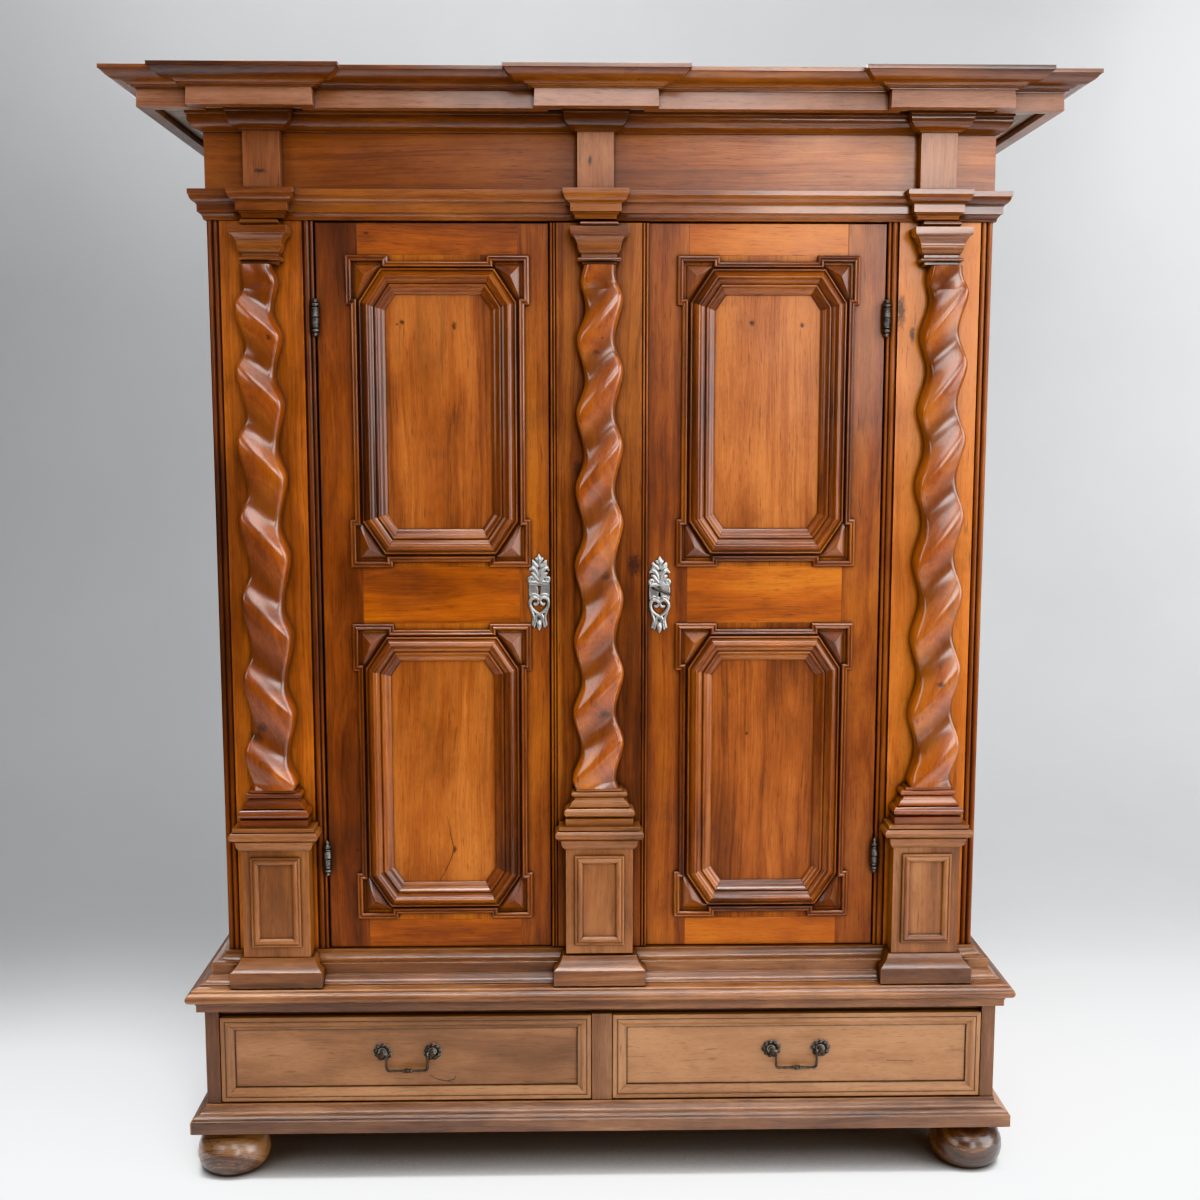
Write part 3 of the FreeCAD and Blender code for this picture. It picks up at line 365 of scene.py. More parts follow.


# painted shadow: joints beside the door gaps and the face frame's bead quirks, with the half width of the dark band
# painted along each
GAP_SHADOWS = [(-0.5695, 0.470, -0.5695, 1.966, 0.0042), (-0.572, 1.9635, -0.104, 1.9635, 0.0040), (-0.1055, 0.470, -0.1055, 1.966, 0.0016),
        (0.5695, 0.470, 0.5695, 1.966, 0.0030), (0.093, 1.9635, 0.572, 1.9635, 0.0026), (-0.572, 0.4765, -0.104, 0.4765, 0.0024),
        (0.093, 0.4765, 0.572, 0.4765, 0.0024)]
BEAD_QUIRK_SHADOWS = [(s * x, 0.470, s * x, 1.966, w) for s in (-1, 1) for x, w in ((0.7575, 0.0014), (0.7693, 0.0014), (0.5928, 0.0014), (0.5787, 0.0014))]
# painted shade: the quirks of the drawer fronts' mitred frames, lined with dark bands
DRAWER_QUIRK_SHADOWS = [(s * 0.4085, 0.2515, hx, hz, w) for s in (-1, 1) for hx, hz, w in ((0.3565, 0.0622, 0.0020), (0.3762, 0.0818, 0.0013))]
MAT = {
    "carcase_wood": walnut("walnut_carcase", (0.060, 0.012, 0.002), (0.205, 0.048, 0.005), (0.360, 0.112, 0.013),
                           knots=KNOTS, rough=0.40, broad_shade=0.45, coat=0.15, spec=0.32),
    "base_wood": walnut("walnut_base", (0.045, 0.015, 0.006), (0.135, 0.052, 0.020), (0.250, 0.120, 0.055),
                        rough=0.48, coat=0.15, coat_rough=0.28, wear=0.9, broad_shade=0.5),
    "moulding_wood": walnut("walnut_mouldings", (0.036, 0.008, 0.0018), (0.145, 0.036, 0.006), (0.290, 0.092, 0.018),
                            rough=0.32, coat=0.60, coat_rough=0.12, wear=0.45, waves=0.15),
    "door_wood": walnut("walnut_door", (0.045, 0.0085, 0.0010), (0.168, 0.036, 0.004), (0.320, 0.090, 0.010),
                        knots=KNOTS, rough=0.42, broad_shade=0.50, coat=0.18, spec=0.35, gap_shadows=GAP_SHADOWS),
    "panel_wood": walnut("walnut_panels", (0.072, 0.018, 0.0050), (0.242, 0.063, 0.0135), (0.400, 0.130, 0.031),
                         knots=KNOTS, cracks=CRACKS, contrast=1.1, rough=0.44, coat=0.08, spec=0.3, broad_shade=0.75,
                         hidden=((0.075, 0.015, 0.0015), (0.235, 0.056, 0.005), (0.380, 0.115, 0.011),
                                 ((0.0, 0.570), (1.134, 1.304), (1.868, 2.0)), 2)),
    "column_wood": walnut("walnut_columns", (0.065, 0.012, 0.0010), (0.235, 0.049, 0.0032), (0.370, 0.104, 0.010),
                          knots=SHAFT_KNOTS, rough=0.36, coat=0.75, coat_rough=0.17, contrast=1.0, broad_shade=0.65, waves=0.12, crevice_shade=0.95, carving_shade_amount=0.62),
    "drawer_wood": walnut("walnut_drawers", (0.110, 0.044, 0.016), (0.235, 0.102, 0.041), (0.330, 0.162, 0.072),
                          cracks=DRAWER_CRACKS, contrast=0.55, rough=0.50, coat=0.12, coat_rough=0.3, wear=0.8, quirk_shadows=DRAWER_QUIRK_SHADOWS),
    "feet_wood": walnut("walnut_feet", (0.012, 0.005, 0.003), (0.064, 0.025, 0.012), (0.270, 0.140, 0.072),
                        rough=0.36, coat=0.55, coat_rough=0.18, wear=0.9, contrast=1.5),
    "inner_wood": walnut("plain_inner_wood", (0.17, 0.09, 0.045), (0.32, 0.19, 0.10), (0.45, 0.30, 0.17),
                         rough=0.62, coat=0.0, contrast=0.9, crevice_shade=0.5, knots=()),
    "iron": iron("dark_iron"),
    "pewter": pewter("tinned_iron"),
}
BASE_MOULDING = walnut("walnut_base_mouldings", (0.036, 0.010, 0.003), (0.150, 0.051, 0.015), (0.310, 0.135, 0.052),
                       rough=0.38, coat=0.25, coat_rough=0.18, wear=1.0, crevice_shade=0.95, waves=0.2)
PLINTH = walnut("walnut_plinth", (0.045, 0.016, 0.007), (0.175, 0.074, 0.033), (0.330, 0.175, 0.095),
                rough=0.42, coat=0.22, coat_rough=0.2, wear=1.0, crevice_shade=0.95, waves=0.2)
PEDESTAL = walnut("walnut_pedestals", (0.065, 0.019, 0.005), (0.210, 0.072, 0.020), (0.330, 0.140, 0.050),
                  rough=0.42, coat=0.25, coat_rough=0.20, contrast=0.7, wear=0.6, waves=0.2)
FRAMING = walnut("walnut_door_mouldings", (0.040, 0.008, 0.0015), (0.165, 0.038, 0.0048), (0.300, 0.088, 0.013),
                 rough=0.36, coat=0.45, coat_rough=0.11, wear=0.35, crevice_shade=1.0, broad_shade=0.5, waves=0.10, bump=0.6, spec=0.4)
RAIL = walnut("walnut_door_rails", (0.090, 0.016, 0.0013), (0.290, 0.064, 0.0042), (0.450, 0.132, 0.011),
              knots=KNOTS, rough=0.42, broad_shade=0.45, coat=0.15, spec=0.35, gap_shadows=GAP_SHADOWS)
FACE = walnut("walnut_face_frame", (0.130, 0.029, 0.005), (0.400, 0.108, 0.017), (0.560, 0.185, 0.036),
              knots=KNOTS, rough=0.40, broad_shade=0.35, coat=0.12, spec=0.32, gap_shadows=GAP_SHADOWS + BEAD_QUIRK_SHADOWS, contrast=0.85,
              hidden=((0.035, 0.007, 0.001), (0.150, 0.032, 0.004), (0.270, 0.075, 0.012), ((0.7565, 0.79), (0.560, 0.5936)), 0))
PILASTER = walnut("walnut_pilaster_board", (0.040, 0.009, 0.0018), (0.155, 0.036, 0.0055), (0.300, 0.090, 0.014),
                  knots=KNOTS, rough=0.40, broad_shade=0.6, coat=0.15, spec=0.32, contrast=1.25)
# painted shade: fade darkens the frieze towards its left end
FRIEZE = walnut("walnut_frieze", (0.055, 0.011, 0.0020), (0.275, 0.068, 0.0100), (0.460, 0.150, 0.028), rough=0.36,
                coat=0.22, coat_rough=0.16, spec=0.4, broad_shade=0.45, knots=KNOTS, fade=(-0.15, 0.40, 0.55))
BLOCKS = walnut("walnut_frieze_blocks", (0.050, 0.013, 0.004), (0.200, 0.060, 0.017), (0.340, 0.125, 0.044),
                knots=KNOTS, rough=0.38, coat=0.25, coat_rough=0.16, broad_shade=0.45)
SOFFIT = walnut("old_grey_boards", (0.260, 0.205, 0.165), (0.500, 0.430, 0.375), (0.620, 0.550, 0.490),
                rough=0.55, coat=0.0, contrast=0.6,
                hidden=((0.080, 0.048, 0.028), (0.200, 0.130, 0.080), (0.310, 0.215, 0.140), ((2.185, 2.3),), 2))
# painted reflection: the corona's pale, greyish palette stands in for the sheen on its glossy front
CORONA = walnut("walnut_corona", (0.080, 0.024, 0.009), (0.225, 0.086, 0.040), (0.360, 0.160, 0.090),
                rough=0.36, coat=0.35, coat_rough=0.14, wear=0.6)
CAPITAL = walnut("walnut_capitals", (0.035, 0.008, 0.002), (0.135, 0.036, 0.008), (0.270, 0.088, 0.018),
                 rough=0.32, coat=0.7, coat_rough=0.13, wear=0.6, waves=0.15)
STEEL = iron("hinge_steel", base=(0.085, 0.082, 0.078), bright=(0.22, 0.215, 0.205), rough=0.36, rust=0.25, rubbed=0.35)


# ------------------------------------------------------------ wooden pieces
def solids(node):
    """The node's closed solids, in order, as (points, triangles)."""
    me = NODE[node].data
    n = len(me.vertices)
    co = np.empty(n * 3, np.float64)
    me.vertices.foreach_get("co", co)
    co = co.reshape(-1, 3)
    key = np.round(co * 1e6).astype(np.int64)
    ids = {}
    rep = np.empty(n, np.int64)
    for i in range(n):
        rep[i] = ids.setdefault(tuple(key[i]), i)
    tris = []
    for p in me.polygons:
        v = [int(rep[i]) for i in p.vertices]
        for k in range(1, len(v) - 1):
            tris.append((v[0], v[k], v[k + 1]))
    out, open_edges, current = [], {}, []
    for a, b, c in tris:
        if a == b or b == c or c == a:
            continue
        current.append((a, b, c))
        for e in ((a, b), (b, c), (c, a)):
            back = (e[1], e[0])
            if open_edges.get(back, 0) > 0:
                open_edges[back] -= 1
                if not open_edges[back]:
                    del open_edges[back]
            else:
                open_edges[e] = open_edges.get(e, 0) + 1
        if not open_edges:
            out.append(current)
            current = []
    if current:
        out.append(current)
    result = []
    for tri in out:
        used = sorted({i for t in tri for i in t})
        index = {v: k for k, v in enumerate(used)}
        result.append((co[used], [tuple(index[i] for i in t) for t in tri]))
    return result


AXES = {"x": Vector((1, 0, 0)), "y": Vector((0, 1, 0)), "z": Vector((0, 0, 1))}


def grain_axis(points, tris):
    """The direction of the solid's longest straight edge."""
    best, d = 0.0, Vector((1, 0, 0))
    for t in tris:
        for i in range(3):
            v = Vector(points[t[i]]) - Vector(points[t[i - 1]])
            # diagonals of a rectangle's two triangles are passed over
            L = v.length * (1.0 if max(abs(c) for c in v) > 0.995 * v.length else 0.80)
            if L > best:
                best, d = L, v.normalized()
    return d


def wood_frame(name, points, axis, flat):
    """Coordinates along, across and into the wood, about a pith some way off."""
    r = rng(name)
    u = axis.normalized()
    w = Vector((0, -1, 0)) if abs(u.y) < 0.8 else Vector((0, 0, 1))
    w = (w - u * w.dot(u)).normalized()
    v = w.cross(u)
    P = np.asarray(points)
    c = P.mean(0)
    span = np.ptp((P - c) @ np.array(v)) if len(P) else 0.1
    if flat:
        vc, wc = r.uniform(-0.35, 0.35) * span, -r.uniform(0.05, 0.14)
    else:
        vc, wc = r.choice((-1, 1)) * (0.5 * span + r.uniform(0.05, 0.12)), -r.uniform(0.03, 0.12)
    q = np.stack([(P - c) @ np.array(u) + r.uniform(0, 20), (P - c) @ np.array(v) - vc, (P - c) @ np.array(w) - wc], 1)
    return q.astype(np.float32), (r.random(), r.random(), r.random())


def add_attributes(me, q, rnd):
    for name, data in (("wood_co", q), ("wood_rnd", np.asarray(rnd, np.float32))):
        a = me.attributes.new(name, "FLOAT_VECTOR", "POINT")
        a.data.foreach_set("vector", np.ascontiguousarray(data, np.float32).ravel())


def mesh_from(name, P, faces):
    me = bpy.data.meshes.new(name)
    me.from_pydata([tuple(map(float, p)) for p in P], [], faces)
    me.update()
    return me


def place(me, name, body, slot, mat, *replaced):
    o = bpy.data.objects.new(name, me)
    scene.collection.objects.link(o)
    me.materials.clear()
    me.materials.append(mat)
    me.shade_smooth()
    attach(o, body)
    if replaced:
        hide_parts(*replaced)
    return o


def soften(o, width, angle=32.0, segments=2):
    b = o.modifiers.new("arris", "BEVEL")
    b.width = width
    b.segments = segments
    b.limit_method = "ANGLE"
    b.angle_limit = math.radians(angle)
    b.use_clamp_overlap = False
    b.profile = 0.5
    w = o.modifiers.new("normals", "WEIGHTED_NORMAL")
    w.weight = 100
    w.keep_sharp = True
    return o


TONE = {   # shade of single boards: 0.5 is the middle
    "left_door_panels": lambda c: 0.05 if c[2] > 1.2 else 0.80,
    "right_door_panels": lambda c: 1.08 if c[2] > 1.2 else -0.05,
    "frieze_boards": lambda c: 0.45,
    # painted shade: the left end stile (-0.85) and the rails (-0.35) are darkened for the shade on them
    "drawer_case_frame": lambda c: (-0.85, 0.85, 0.45)[1 + (c[0] > 0.3) - (c[0] < -0.3)] if 0.2 < c[2] < 0.3 else -0.35,
    "pedestal_base_blocks": lambda c: (0.30, 0.55, 0.70)[1 + (c[0] > 0.3) - (c[0] < -0.3)],
    # painted light: the right drawer front is lightened for the stronger light from the right
    "right_drawer_front": lambda c: 1.25,
    "left_drawer_front": lambda c: 0.45,
}


def timber(node, width=0.0006, axis=None, flat=None, mat=None, segments=2, angle=32.0, skip=None):
    """Rebuilds a CAD node as planed pieces of wood with softened arrises, each with its own grain."""
    allP, allF, allQ, allR, base = [], [], [], [], 0
    for i, (P, tris) in enumerate(solids(node)):
        name = f"{node}_{i}"
        if skip and skip(P):
            continue
        bm = bmesh.new()
        vs = [bm.verts.new(p) for p in P]
        for t in tris:
            try:
                bm.faces.new([vs[k] for k in t])
            except ValueError:
                pass
        bmesh.ops.dissolve_limit(bm, angle_limit=0.004, use_dissolve_boundaries=False, verts=bm.verts[:], edges=bm.edges[:])
        bmesh.ops.recalc_face_normals(bm, faces=bm.faces[:])
        bm.verts.ensure_lookup_table()
        a = axis(P, i) if callable(axis) else (AXES[axis] if axis else grain_axis(P, tris))
        pts = np.array([v.co for v in bm.verts])
        f = rng(name + "f").random() < 0.7 if flat is None else flat
        q, rnd = wood_frame(name, pts, a, f)
        if node in TONE:
            rnd = (*rnd[:2], TONE[node](pts.mean(0)))
        allP.append(pts)
        allQ.append(q)
        allR.append(np.tile(np.array(rnd, np.float32), (len(pts), 1)))
        bm.verts.index_update()
        allF += [[v.index + base for v in fc.verts] for fc in bm.faces]
        base += len(pts)
        bm.free()
    me = mesh_from(node + "_look", np.concatenate(allP), allF)
    add_attributes(me, np.concatenate(allQ), np.concatenate(allR))
    o = place(me, node + "_look", BODY[node], SLOT[node], mat or MAT[SLOT[node]], node)
    if width:
        soften(o, width, angle, segments)
    return o


def clip(o, *nodes):
    """Applies the modifiers and keeps every point inside the CAD nodes' box."""
    lo = [min(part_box(n)[0][k] for n in nodes) for k in range(3)]
    hi = [max(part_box(n)[1][k] for n in nodes) for k in range(3)]
    e = o.evaluated_get(bpy.context.evaluated_depsgraph_get())
    me = bpy.data.meshes.new_from_object(e, preserve_all_data_layers=True, depsgraph=bpy.context.evaluated_depsgraph_get())
    o.modifiers.clear()
    o.data = me
    co = np.empty(len(me.vertices) * 3, np.float32)
    me.vertices.foreach_get("co", co)
    co = np.clip(co.reshape(-1, 3), np.array(lo, np.float32), np.array(hi, np.float32))
    me.vertices.foreach_set("co", co.ravel())
    me.update()
    return o


def tall(P, i):
    e = np.ptp(np.asarray(P), axis=0)
    return AXES["xyz"[int(np.argmax(e))]]


# boards and case pieces
for n, w in (("base_case_boards", 0.0012), ("base_top_board", 0.0010), ("drawer_case_frame", 0.0012),
             ("drawer_partition", 0.0008), ("drawer_runners", 0.0008), ("body_sides", 0.0010),
             ("body_floor_and_top", 0.0008), ("back_boards", 0.0012), ("shelves", 0.0010), ("shelf_bearers", 0.0010),
             ("pilaster_backing", 0.0006), ("left_drawer_box", 0.0010), ("right_drawer_box", 0.0010)):
    timber(n, w, axis=tall)
for n in ("left_door_stiles", "right_door_stiles"):
    timber(n, 0.0007, axis=tall)
for n in ("left_door_rails", "right_door_rails"):
    timber(n, 0.0007, axis=tall, mat=RAIL)
for n in ("left_door_panels", "right_door_panels"):
    timber(n, 0.0006, axis="z", flat=True)
timber("front_frame", 0.0005, axis=tall, mat=FACE)
timber("pilaster_board", 0.0005, axis="z", mat=PILASTER)
timber("cornice_boards", 0.0008, axis=tall, mat=SOFFIT)
timber("frieze_boards", 0.0010, axis=tall, mat=FRIEZE)
timber("frieze_blocks", 0.0012, axis=tall, mat=BLOCKS)
timber("plinth_moulding", 0.0010, axis=tall, mat=PLINTH)
for n in ("surbase_moulding", "foot_moulding"):
    timber(n, 0.0008, axis=tall, mat=BASE_MOULDING)
for n in ("architrave_moulding", "bed_moulding"):
    timber(n, 0.0006, axis=tall)
timber("corona_boards", 0.0006, axis=tall, mat=CORONA)
clip(timber("crown_moulding", 0.0004, axis=tall), "crown_moulding")
timber("pedestal_base_blocks", 0.0012, axis="x", mat=BASE_MOULDING)
for n in ("left_door_mouldings", "right_door_mouldings"):
    timber(n, 0.0004, mat=FRAMING)
for n in ("left_drawer_front", "right_drawer_front"):
    timber(n, 0.0006, axis=tall)
for n in ("column_capitals", "pilaster_capital"):
    timber(n, 0.0006, axis="x", mat=CAPITAL)
timber("column_bases", 0.0006, axis="x")


def pedestal_axis(P, i):
    e = np.ptp(np.asarray(P), axis=0)
    if e[2] > 150:
        return AXES["z"]
    return AXES["z"] if e[2] > e[0] else AXES["x"]


for n in ("column_pedestals", "pilaster_pedestal"):
    timber(n, 0.0006, axis=pedestal_axis, mat=PEDESTAL)


# ------------------------------------------------------------- turned pieces
def lathe(profile, steps=72, centre=(0, 0, 0), axis="z"):
    """profile: (radius, height). Returns points and faces of the closed turning."""
    P, F = [], []
    n = len(profile)
    for r, h in profile:
        for k in range(steps):
            a = 2 * math.pi * k / steps
            c = (r * math.cos(a), r * math.sin(a), h)
            if axis == "-y":
                c = (c[0], -c[2], c[1])
            elif axis == "x":
                c = (c[2], c[0], c[1])
            P.append((c[0] + centre[0], c[1] + centre[1], c[2] + centre[2]))
    for i in range(n - 1):
        for k in range(steps):
            l = (k + 1) % steps
            F.append((i * steps + k, i * steps + l, (i + 1) * steps + l, (i + 1) * steps + k))
    F.append(tuple(reversed(range(steps))))
    F.append(tuple((n - 1) * steps + k for k in range(steps)))
    return P, F


def spline(points, n=8):
    """Catmull-Rom through 2-D points."""
    out = []
    p = [points[0]] + list(points) + [points[-1]]
    for i in range(1, len(p) - 2):
        for k in range(n):
            t = k / n
            out.append(tuple(0.5 * ((2 * p[i][j]) + (-p[i - 1][j] + p[i + 1][j]) * t
                                    + (2 * p[i - 1][j] - 5 * p[i][j] + 4 * p[i + 1][j] - p[i + 2][j]) * t * t
                                    + (-p[i - 1][j] + 3 * p[i][j] - 3 * p[i + 1][j] + p[i + 2][j]) * t ** 3)
                             for j in range(len(points[0]))))
    out.append(tuple(points[-1]))
    return out


lo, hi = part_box("bun_feet")
fx = 0.782
allP, allF, Q, R = [], [], [], []
for i, (x, y) in enumerate(((-fx, -0.189), (fx, -0.189), (-fx, 0.294), (fx, 0.294))):
    r = rng(f"foot{i}")
    prof = [(0.001, 0.0), (0.040, 0.0)] + spline([(0.044, 0.0005), (0.058, 0.0045), (0.0690, 0.0150), (0.0745, 0.0290),
                                                   (0.0752, 0.0420), (0.0725, 0.0570), (0.0655, 0.0710), (0.0560, 0.0815)], 6)
    prof += [(0.0500, 0.0855), (0.0455, 0.0870), (0.0445, 0.0890), (0.0450, 0.0920), (0.0475, 0.0930), (0.0515, 0.0950),
             (0.0518, 0.1030), (0.001, 0.1030)]
    # the turner's tool left fine rings
    prof = [(pr + (0.00018 * math.sin(h * 2100) if 0.006 < h < 0.080 else 0.0), h) for pr, h in prof]
    P, F = lathe(prof, 96, (x, y, 0))
    q, rnd = wood_frame(f"foot{i}", np.array(P), AXES["x"], False)
    b = len(allP)
    allP += P
    allF += [tuple(k + b for k in f) for f in F]
    Q.append(q)
    R.append(np.tile(np.array(rnd, np.float32), (len(P), 1)))
me = mesh_from("bun_feet_look", allP, allF)
add_attributes(me, np.concatenate(Q), np.concatenate(R))
feet = place(me, "bun_feet_look", "carcase", "feet_wood", MAT["feet_wood"], "bun_feet")


# ------------------------------------------------------------ twisted shafts
def twisted(node, xc, drift, back, hand, ridges, v, twist, flutes=()):
    """Flattened half shaft, carved: slanting turns with rounded ridges and crisp hollows between them.

    ridges: heights of the ridges on the centre line, lowest first; v: the share of a turn that looks up."""
    z0, z1 = 0.825, 1.877
    fit = np.polyfit(np.array(ridges), np.arange(len(ridges)), 3)
    nz, side, corner, front = 800, 5, 9, 46
    d1, d2 = 0.75, 0.80
    hyp = math.hypot(1.0, d1) - d1
    P, F, H = [], [], []

    def relief(turn):
        u = turn % 1.0
        d = u / v if u < v else (1 - u) / (1 - v)
        d = 1 - (math.hypot(1 - d, d2) - d2) / (math.hypot(1.0, d2) - d2)
        return 1 - 2 * (math.hypot(d, d1) - d1) / hyp

    for i in range(nz):
        t = i / (nz - 1)
        z = z0 + (z1 - z0) * t
        up = z1 - z
        neck = 1 - min(1.0, up / 0.045)
        neck = neck * neck * (3 - 2 * neck)
        w = (0.0446 - 0.0082 * t) * (1 - 0.13 * neck)
        fade = min(1.0, up / 0.050 + 0.08, (z - z0) / 0.030 + 0.60)
        x0 = xc + drift * t
        n = float(np.polyval(fit, z))
        rc = 0.0098

        def depth(s):
            """Front face at s, -1 to 1 across the width."""
            turn = n + hand * 0.5 * twist * s
            h = 0.0068 * fade * (relief(turn) - 1)
            for fz, spread, size, per in flutes:
                h += size * math.exp(-((z - fz) / spread) ** 2) * (math.cos(2 * math.pi * per * turn) - 1)
            return -0.2391 + 0.0026 * neck + 0.0015 * t + 0.0045 * s * s - h

        xl = x0 - w - 0.0080 * fade * relief(n - hand * 0.5 * twist)
        xr = x0 + w + 0.0080 * fade * relief(n + hand * 0.5 * twist)
        ring = []
        for x_edge, sgn in ((xl, 1), (xr, -1)):
            part = []
            for k in range(side):
                part.append([x_edge, None, k / side])
            for k in range(corner):
                th = math.pi / 2 * k / corner
                x = x_edge + sgn * rc * (1 - math.cos(th))
                part.append([x, depth((x - x0) / w) + rc * (1 - math.sin(th)), 0])
            y_side = part[side][1]
            for k in range(side):
                part[k][1] = back + (y_side - back) * part[k][2]
            ring.append([(x, y) for x, y, _ in part])
        xa, xb = xl + rc, xr - rc
        mid = [(xa + (xb - xa) * k / front, 0) for k in range(front + 1)]
        mid = [(x, depth((x - x0) / w)) for x, _ in mid]
        ring = ring[0] + mid + ring[1][::-1]
        P += [(x, y, z) for x, y in ring]
        # painted shade: how deep each point sits in a hollow of the carving, used to darken the hollows
        H += [(0.5 - 0.5 * relief(n + hand * 0.5 * twist * max(-1.0, min(1.0, (x - x0) / w))), 0.0, 0.0) for x, _ in ring]
    na = len(ring)
    P = [(x, max(y, -0.2392), z) for x, y, z in P]
    for i in range(nz - 1):
        for k in range(na - 1):
            a, b = i * na + k, (i + 1) * na + k
            F.append((a, a + 1, b + 1, b))
        F.append(((i + 1) * na, (i + 1) * na + na - 1, i * na + na - 1, i * na))
    F.append(tuple(reversed(range(na))))
    F.append(tuple((nz - 1) * na + k for k in range(na)))
    me = mesh_from(node + "_look", P, F)
    bm = bmesh.new()
    bm.from_mesh(me)
    bmesh.ops.recalc_face_normals(bm, faces=bm.faces[:])
    bm.to_mesh(me)
    bm.free()
    q, rnd = wood_frame(node, np.array(P), AXES["z"], True)
    add_attributes(me, q, np.tile(np.array(rnd, np.float32), (len(P), 1)))
    me.attributes.new("carving_shade", "FLOAT_VECTOR", "POINT").data.foreach_set("vector", np.array(H, np.float32).ravel())
    o = place(me, node + "_look", BODY[node], "column_wood", MAT["column_wood"], node)
    o.data.set_sharp_from_angle(angle=math.radians(60))
    return o


twisted("left_column_shaft", -0.6765, -0.0040, -0.190, 1, (0.868, 1.014, 1.178, 1.3375, 1.497, 1.637, 1.769), 0.38, 0.465,
        ((0.835, 0.030, 0.0005, 4),))
twisted("pilaster_shaft", -0.0080, 0.0040, -0.195, -1, (0.882, 1.0225, 1.176, 1.325, 1.4775, 1.634, 1.7715), 0.42, 0.56)
twisted("right_column_shaft", 0.6830, -0.0005, -0.190, -1, (0.8685, 1.017, 1.174, 1.340, 1.485, 1.638, 1.783), 0.50, 0.58,
        ((1.800, 0.075, 0.0007, 3), (0.850, 0.040, 0.0007, 4)))


# ------------------------------------------------------------------- ironwork
def metal(node, mat, width=0.0003, angle=35.0):
    """A CAD node's solids as iron, with rounded arrises."""
    allP, allF, base = [], [], 0
    for P, tris in solids(node):
        bm = bmesh.new()
        vs = [bm.verts.new(p) for p in P]
        for t in tris:
            try:
                bm.faces.new([vs[k] for k in t])
            except ValueError:
                pass
        bmesh.ops.dissolve_limit(bm, angle_limit=0.004, use_dissolve_boundaries=False, verts=bm.verts[:], edges=bm.edges[:])
        bmesh.ops.recalc_face_normals(bm, faces=bm.faces[:])
        bm.verts.index_update()
        allP += [tuple(v.co) for v in bm.verts]
        allF += [[v.index + base for v in f.verts] for f in bm.faces]
        base += len(bm.verts)
        bm.free()
    me = mesh_from(node + "_look", allP, allF)
    o = place(me, node + "_look", BODY[node], SLOT[node], mat, node)
    if width:
        soften(o, width, angle, 2)
    return o


for n in ("hinge_pintles", "left_door_hinges", "right_door_hinges"):
    metal(n, STEEL, 0.0003)
for n in ("left_door_bolt", "left_door_staples", "lock_case", "lock_bolt", "key"):
    metal(n, MAT["iron"], 0.0003)


class Bag:
    """Collects points and faces of several closed shapes into one mesh."""

    def __init__(self):
        self.P, self.F = [], []

    def add(self, P, F):
        b = len(self.P)
        self.P += [tuple(p) for p in P]
        self.F += [tuple(k + b for k in f) for f in F]

    def piece(self, name, body, slot, mat, *replaced):
        me = mesh_from(name, self.P, self.F)
        bm = bmesh.new()
        bm.from_mesh(me)
        bmesh.ops.recalc_face_normals(bm, faces=bm.faces[:])
        bm.to_mesh(me)
        bm.free()
        return place(me, name, body, slot, mat, *replaced)


# ----- turned hinge barrels, finials above and below
UPPER = [(0.0069, 0.0002), (0.0076, 0.0008), (0.0078, 0.0022), (0.0074, 0.0030), (0.0074, 0.0085), (0.0069, 0.0092),
         (0.0076, 0.0098), (0.0076, 0.0104), (0.0070, 0.0110), (0.0070, 0.0150), (0.0060, 0.0156), (0.0060, 0.0164),
         (0.0072, 0.0170), (0.0079, 0.0185), (0.0072, 0.0202), (0.0048, 0.0208), (0.0045, 0.0218), (0.0062, 0.0230),
         (0.0074, 0.0252), (0.0070, 0.0275), (0.0052, 0.0292), (0.0036, 0.0302), (0.0034, 0.0312), (0.0046, 0.0324),
         (0.0045, 0.0340), (0.0032, 0.0356), (0.0015, 0.0380), (0.0003, 0.0384)]


def hinge_turning(name, body, x, zj, up):
    k = 1 if up else -1
    prof = [(0.0002, 0.0002)] + [(r * 1.12, h) for r, h in UPPER]
    P, F = lathe([(r, k * h) for r, h in prof], 40, (x, -0.198, zj))
    bag = Bag()
    bag.add(P, F)
    return bag


for side, x, body in (("left", -0.5695, "left_door"), ("right", 0.5695, "right_door")):
    top, low = Bag(), Bag()
    for zj in (0.6712, 1.7767):
        b = hinge_turning("", body, x, zj, True)
        top.add(b.P, b.F)
        b = hinge_turning("", "carcase", x, zj - 0.0003, False)
        low.add(b.P, b.F)
    top.piece(f"{side}_hinge_turned_tops", body, "iron", STEEL)
    low.piece(f"{side}_hinge_turned_feet", "carcase", "iron", STEEL)


